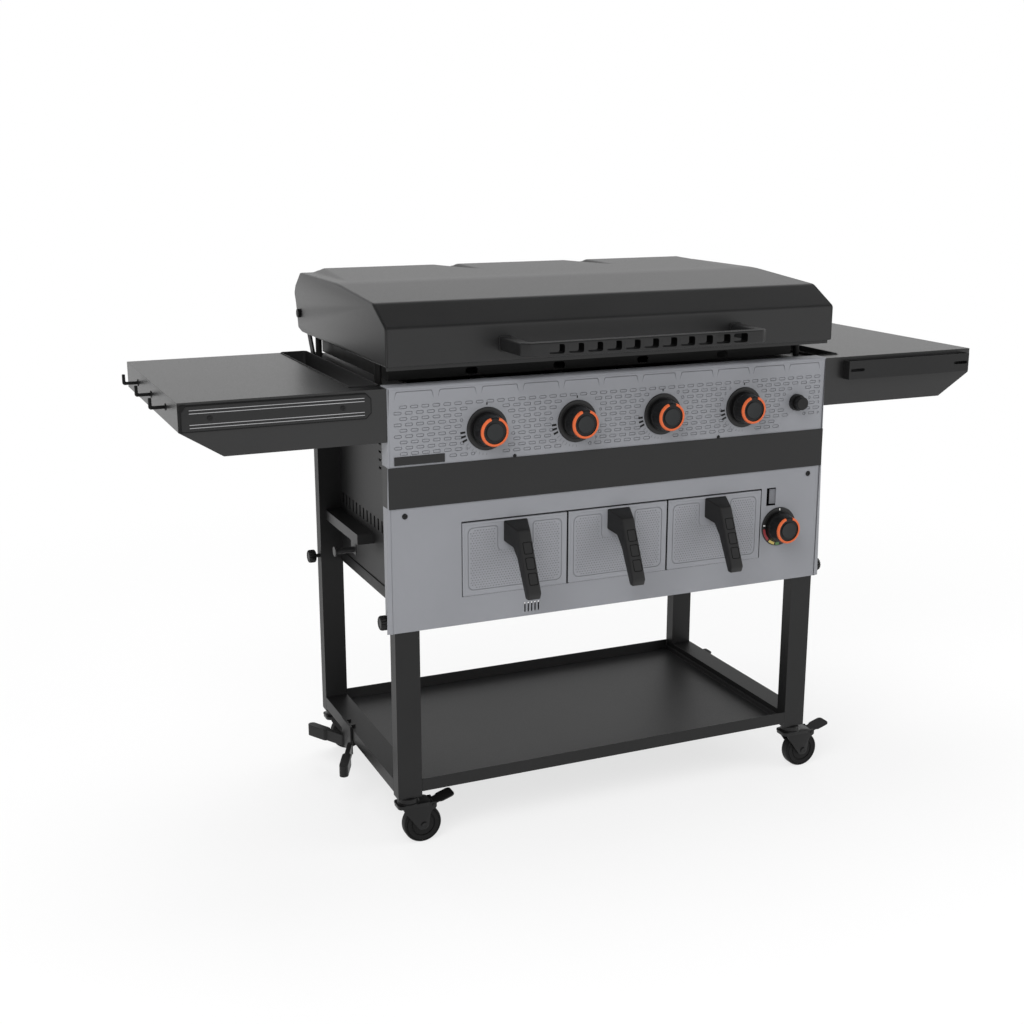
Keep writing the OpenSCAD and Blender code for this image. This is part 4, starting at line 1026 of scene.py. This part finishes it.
HANDLE_X = 252.0
HANDLE_FRONT = -114.0
HANDLE_Z = (941.0, 965.0)
HANDLE_MID = sum(HANDLE_Z) / 2
BAR = 22.0
GRIP_PITCH = 37.5
hx = HANDLE_X
front = HANDLE_FRONT
plan = [(-hx, HOOD_FRONT), (-hx, front + 14.0), (14.0 - hx, front), (hx - 14.0, front), (hx, front + 14.0),
        (hx, HOOD_FRONT), (hx - BAR, HOOD_FRONT), (hx - BAR, front + BAR), (BAR - hx, front + BAR),
        (BAR - hx, HOOD_FRONT)]
grip = slab(rounded(plan, [0.0, 12.0, 12.0, 12.0, 12.0, 0.0, 0.0, 5.0, 5.0, 0.0], 5), *HANDLE_Z)
# The windows' walls are near black: painted shade.
windows = [prism(rounded_box(i * GRIP_PITCH, HANDLE_MID, 30.0, 17.0, 4.0, 4), front - 5, front + BAR + 5)
           for i in range(-5, 6)]
cut = carve(windows, bevelled(3.2, 4, 40.0), black_painted_shade)
piece("hood_grip", grip, grip_moulding, "hood", ["hood_handle"], cut)
feet = []
for side in (-1, 1):
    pad = rounded_box(side * (hx - BAR / 2), HANDLE_MID, BAR + 5.0, 29.0, 5.0, 4)
    feet.append(prism(pad, HOOD_FRONT - 2.4, HOOD_FRONT - 0.2))
piece("hood_grip_feet", joined(feet), moulding, "hood", (), bevelled(0.8, 3))


# Left shelf's strip: a plate with a dark edge, four bright lines and a clip at its left end

STRIP_X = (-825.0, -492.0)
STRIP_Z = (833.5, 879.5)
STRIP_CUT = 10.0
STRIP_FACE = -3.4


def strip_outline(amount):
    x0, x1 = STRIP_X
    z0, z1 = STRIP_Z
    cut_x, low, top = x1 - STRIP_CUT, z0 + STRIP_CUT, z1 - STRIP_CUT
    path = [(x0, z0), (cut_x, z0), (x1, low), (x1, top), (cut_x, z1), (x0, z1)]
    return inset(path, amount) if amount else path


def strip_piece(name, shape, material, stands_for=()):
    piece(name, shape, material, "cart", stands_for, bevelled(0.4, 2))


strip_piece("strip_back", prism(strip_outline(0.0), STRIP_FACE + 0.9, 0.6), edge_black, ["tool_strip"])
strip_piece("strip_plate", prism(strip_outline(2.0), STRIP_FACE, STRIP_FACE + 1.2), band_coat)
lines = [prism(rounded_box(-657.0, z, 304.0, 1.1, 0.5, 3), STRIP_FACE - 0.15, STRIP_FACE + 0.4)
         for z in (870.8, 865.3, 846.2, 840.8)]
piece("strip_lines", joined(lines), bright_line, "cart")
x0, x1 = STRIP_X[0] - 0.6, STRIP_X[0] + 3.0
z0, z1 = STRIP_Z[0] - 0.5, STRIP_Z[1] + 0.5
clip = [(x0, z0), (x1, z0), (x1, z1 - 12.5), (x1 + 9.5, z1), (x0, z1)]
strip_piece("strip_clip", prism(clip, STRIP_FACE - 0.9, 0.5), edge_black)


# Left shelf's hooks: round-edged bars that turn up at their tips

HOOK_Y = (106.5, 248.0, 389.5)
HOOK_Z = 858.0
HOOK_T = 5.5
HOOK_ROOT = -828.0
HOOK_TIP = -856.5
bend = HOOK_TIP + HOOK_T
outline = [(HOOK_ROOT, HOOK_Z), (HOOK_ROOT, HOOK_Z + HOOK_T), (bend, HOOK_Z + HOOK_T), (bend, HOOK_Z + 20.0),
           (HOOK_TIP, HOOK_Z + 20.0), (HOOK_TIP, HOOK_Z)]
outline = rounded(outline, [0.0, 0.0, 2.5, 1.0, 1.0, 4.0], 4)
hooks = joined([prism(outline, y - 3.2, y + 3.2) for y in HOOK_Y])
piece("hook_bars", hooks, edge_black, "cart", ["tool_hooks"], bevelled(1.6, 3, 40.0))
profile = [(0.0, -0.5), (6.4, -0.5), (6.4, 0.6), (5.6, 1.4), (0.0, 1.4)]
washers = [turned(lambda u, v, w: (HOOK_ROOT + 0.5 - w, y + u, HOOK_Z + 2.8 + v), profile, 28)
           for y in HOOK_Y]
piece("hook_washers", joined(washers), edge_black, "cart")


# Fasteners

def pan_head(x, z, y, radius, rise):
    """A domed screw head with a cross recess, and the recess's cutter."""
    profile = [(0.0, 0.0), (radius, 0.0), (radius, rise * 0.3)]
    for k in range(1, 6):
        a = math.pi / 2 * k / 5
        profile.append((radius * math.cos(a) * 0.95, rise * (0.35 + 0.65 * math.sin(a))))
    profile[-1] = (0.0, rise)
    head = lathe(x, y, z, profile, 28)
    size = radius * 0.62
    bar = radius * 0.15
    arm = [(size, -bar), (size, bar), (bar, bar)]
    cross = arm + [(-v, u) for u, v in arm] + [(-u, -v) for u, v in arm] + [(v, -u) for u, v in arm]
    return head, prism([(x + u, z + v) for u, v in cross], y - rise - 1.0, y - rise * 0.45)


screw_places = [(s * 434.0, 650.0, 0.0, 5.4, 2.6) for s in (-1, 1)]
screw_places += [(s * 218.0, 743.2, 0.0, 3.4, 2.0) for s in (-1, 1)]
screw_places += [(x, 856.0, STRIP_FACE, 4.6, 2.2) for x in (-775.0, -544.0)]
heads, cuts = zip(*[pan_head(*place) for place in screw_places])
piece("screw_heads", joined(heads), zinc, "cart", ["screws"], carve(cuts))

THUMB_X = 466.0
THUMB_Y = (15.6, 493.0)
THUMB_Z = 449.0


def thumb_screw(side, y):
    """A fluted thumb screw on its shank, along X."""
    profile = [(0.0, -14.0), (4.0, -14.0), (4.0, 0.0), (11.0, 0.0), (12.9, 0.9), (13.9, 2.4), (13.9, 12.4),
               (13.0, 14.6), (11.2, 15.8), (9.6, 15.8), (9.0, 15.0), (0.0, 15.0)]
    return turned(lambda u, v, w: (side * (THUMB_X + w), y + u, THUMB_Z + v), profile, 96, 16, 1.5)


screws = joined([thumb_screw(side, y) for side in (-1, 1) for y in THUMB_Y])
piece("thumb_wheels", screws, moulding, "cart", ["thumb_screws"])


# Casters: a fork with a ball race, and a grooved wheel with a rounded tread

TRAIL = 26.0
WHEEL_R = 37.5
FORK_IN = 14.5
FORK_OUT = 17.0
PEDAL_PIN = (46.0, 76.0)
CASTER_X = 433.0
CASTER_AT = [(side * CASTER_X, y) for y in THUMB_Y for side in (-1, 1)]


def wheel_profile():
    """The wheel's (radius, reach) from its bore over the tread and back to its bore."""
    half = [(4.3, 14.2), (9.0, 14.2), (9.6, 13.6), (12.0, 13.2), (12.4, 11.2), (21.0, 10.6), (21.8, 9.4),
            (23.2, 9.4), (24.0, 10.8), (31.4, 11.6), (32.2, 10.4), (33.2, 10.4), (33.9, 11.4)]
    for k in range(1, 7):
        a = math.pi / 2 * k / 6
        half.append((33.9 + 3.6 * math.sin(a), 6.0 + 5.4 * math.cos(a)))
    return half + [(r, -w) for r, w in reversed(half)]


def fork_parts(x, y):
    """A caster's fork: a hollow rounded crown, a ball race and two arms that narrow to the axle."""
    crown = rounded([(-24.0, -17.6), (40.0, -17.6), (40.0, 17.6), (-24.0, 17.6)], [12.0, 8.0, 8.0, 12.0], 6)
    rim = [(u * 1.03, v * 1.07) for u, v in crown]
    inner = [(u * 0.95, v * 0.9) for u, v in crown]
    bore = [(Vector(p).normalized() * 5.3)[:] for p in crown]
    loops = [(bore, 84.4), (rim, 84.4), (rim, 81.2), (crown, 80.6), (crown, 76.6), (inner, 76.6),
             (inner, 81.4), (bore, 81.4)]
    race = [(5.4, 84.0), (21.5, 84.0), (21.5, 85.8), (19.0, 87.2), (19.0, 95.0), (17.3, 96.7), (5.4, 96.7)]

    def place(u, v, w):
        return x + u, y + v, w

    parts = [skin(loops, place, wrap=True), turned(place, race, 48, ring=True)]
    arm = [(-14.0, 82.0), (52.0, 82.0), (52.0, 70.5), (40.0, 65.0), (34.8, 28.8), (17.2, 28.8),
           (-14.0, 72.0)]
    arm = [(x + u, z) for u, z in rounded(arm, [1.0, 2.0, 4.0, 12.0, 8.6, 8.6, 6.0], 6)]
    nut = [(0.0, 16.6), (6.6, 16.6), (6.6, 18.4), (5.8, 19.4), (3.4, 19.4), (2.6, 18.9), (0.0, 18.9)]
    pin = [(0.0, 16.6), (3.4, 16.6), (3.4, 17.8), (2.6, 18.4), (0.0, 18.4)]
    for side in (-1, 1):
        parts.append(prism(arm, y + side * FORK_IN, y + side * FORK_OUT))
        for (dx, z), profile, count in (((TRAIL, WHEEL_R), nut, 36), (PEDAL_PIN, pin, 24)):
            parts.append(turned(lambda u, v, w: (x + dx + u, y + side * w, z + v), profile, count))
    return parts


for number, (x, y) in enumerate(CASTER_AT, 1):
    piece(f"fork_{number}", joined(fork_parts(x, y)), zinc, f"caster_{number}",
          [f"caster_fork_{number}"], bevelled(0.6, 2, 30.0))
for number, (x, y) in enumerate(CASTER_AT, 1):
    wheel = lathe(x + TRAIL, y, WHEEL_R, wheel_profile(), 96, True)
    piece(f"wheel_disc_{number}", wheel, tread, f"wheel_{number}",
          [f"caster_wheel_{number}"])


# Hems: a flat one along the tray's front lip, and one on each side wall

tray_hem = prism(rounded_box(0.0, 119.5, 817.0, 24.8, 0.8, 3), 1.3, 1.62)
piece("tray_hem", tray_hem, frame_coat, "cart")
outline = rounded_box(260.0, 447.5, 436.0, 23.0, 2.0, 2)
for name, side in SIDES:
    hem = skin([(outline, side * 409.0), (outline, side * 411.4)], along_x, caps=True)
    piece("wall_hem_" + name, hem, body_coat, "cart", (), bevelled(0.8, 2))


# CAD nodes that keep their shape

FINISHES = (
    (band_coat, 0.5, "trim_band"),
    (frame_coat, 1.5, "front_legs rear_legs side_rails"),
    (tray_coat, 0.6, "bottom_tray"),
    (body_coat, 0.5, "side_wall_left side_wall_right rear_wall"),
    (body_coat, 0.4, "cabinet_floor"),
    (plain_steel, 0.4, "heat_shield fryer_deck burner_tubes fryer_burner"),
    (plain_steel, 0.5, "grease_cup"),
    (pipe_steel, 0.4, "gas_manifold"),
    (shelf_coat, 0.7, "shelf_left shelf_right"),
    (frame_coat, 0.6, "flue_guards"),
    (frame_coat, 0.5, "accessory_rail cup_bracket"),
    (tray_coat, 0.5, "tank_hanger"),
    (edge_black, 0.6, "hinge_brackets"),
    (zinc, 0.5, "caster_stems"),
    (griddle_iron, 0.8, "griddle_plate"),
    (moulding, 0.5, "igniter_housing"),
    (moulding, 0.8, "brake_pedal_1 brake_pedal_2 brake_pedal_3 brake_pedal_4"),
    (moulding, 1.0, "igniter_button"),
    (moulding, 2.2, "tank_brace"),
)
for material, width, nodes in FINISHES:
    for node in nodes.split():
        dress(node, material, width, 3 if width >= 1.5 else 2)


# Floor, light and background

def soft_light(name, place, target, size, power):
    data = bpy.data.lights.new(name, "AREA")
    data.shape = "RECTANGLE"
    data.size, data.size_y = size
    data.energy = power
    lamp = placed(name, data)
    lamp.location = place
    lamp.rotation_euler = (Vector(target) - Vector(place)).to_track_quat("-Z", "Y").to_euler()
    lamp.visible_glossy = False


def combined(tree, operation, first, second):
    node = add_node(tree, "ShaderNodeMath", {0: first, 1: second})
    node.operation = operation
    return node.outputs[0]


def plain_light(tree, strength, kind="ShaderNodeBackground"):
    return add_node(tree, kind, {"Color": (1.0, 1.0, 1.0, 1.0), "Strength": strength}).outputs[0]


def mixed(tree, factor, first, second):
    return add_node(tree, "ShaderNodeMixShader", {0: factor, 1: first, 2: second}).outputs[0]


def studio_world():
    """White wherever it is seen. In a mirror it is darker overhead and to the left, as in a studio."""
    world = bpy.data.worlds.new("studio")
    bpy.context.scene.world = world
    world.use_nodes = True
    tree = world.node_tree
    tree.nodes.clear()
    coord = tree.nodes.new("ShaderNodeTexCoord").outputs["Generated"]
    parts = add_node(tree, "ShaderNodeSeparateXYZ", {"Vector": coord}).outputs
    height = map_range(tree, parts["Z"], 0.25, 0.85, 1.0, 0.12, True)
    side = map_range(tree, parts["X"], -0.7, 0.0, 0.45, 1.0, True)
    mirrored = plain_light(tree, combined(tree, "MULTIPLY", height, side))
    path = tree.nodes.new("ShaderNodeLightPath").outputs
    light = mixed(tree, path["Is Glossy Ray"], plain_light(tree, 0.55), mirrored)
    shown = combined(tree, "MAXIMUM", path["Is Camera Ray"], path["Is Transmission Ray"])
    whole = mixed(tree, shown, light, plain_light(tree, 1.0))
    add_node(tree, "ShaderNodeOutputWorld", {"Surface": whole})


def studio_floor():
    """A pale floor that keeps the shadow near the station and turns into the white background."""
    mesh = bpy.data.meshes.new("floor")
    reach = 40.0
    corners = [(-reach, -reach, 0), (reach, -reach, 0), (reach, reach, 0), (-reach, reach, 0)]
    mesh.from_pydata(corners, [], [[0, 1, 2, 3]])
    obj = placed("floor", mesh)
    material = bpy.data.materials.new("floor")
    material.use_nodes = True
    tree = material.node_tree
    tree.nodes.clear()
    coord = tree.nodes.new("ShaderNodeTexCoord").outputs["Object"]
    length = add_node(tree, "ShaderNodeVectorMath", {0: coord})
    length.operation = "LENGTH"
    far = map_range(tree, length.outputs["Value"], 0.9, 2.6, 0.72, 1.0, True)
    path = tree.nodes.new("ShaderNodeLightPath").outputs
    seen = combined(tree, "MAXIMUM", path["Is Camera Ray"], path["Is Glossy Ray"])
    seen = combined(tree, "MAXIMUM", seen, path["Is Transmission Ray"])
    matt = add_node(tree, "ShaderNodeBsdfDiffuse", {"Color": (0.85, 0.85, 0.85, 1.0)}).outputs[0]
    bright = plain_light(tree, 1.0, "ShaderNodeEmission")
    whole = mixed(tree, combined(tree, "MULTIPLY", seen, far), matt, bright)
    add_node(tree, "ShaderNodeOutputMaterial", {"Surface": whole})
    mesh.materials.append(material)


studio_world()
studio_floor()
soft_light("key", (-2.2, -2.4, 3.2), (0.0, 0.0, 0.7), (2.4, 2.4), 95.0)
soft_light("fill", (2.8, -1.6, 1.9), (0.0, 0.0, 0.7), (2.0, 2.0), 28.0)
soft_light("top", (0.2, 0.9, 3.4), (0.0, 0.1, 0.9), (2.6, 2.0), 60.0)

bpy.context.scene.view_settings.view_transform = "Standard"
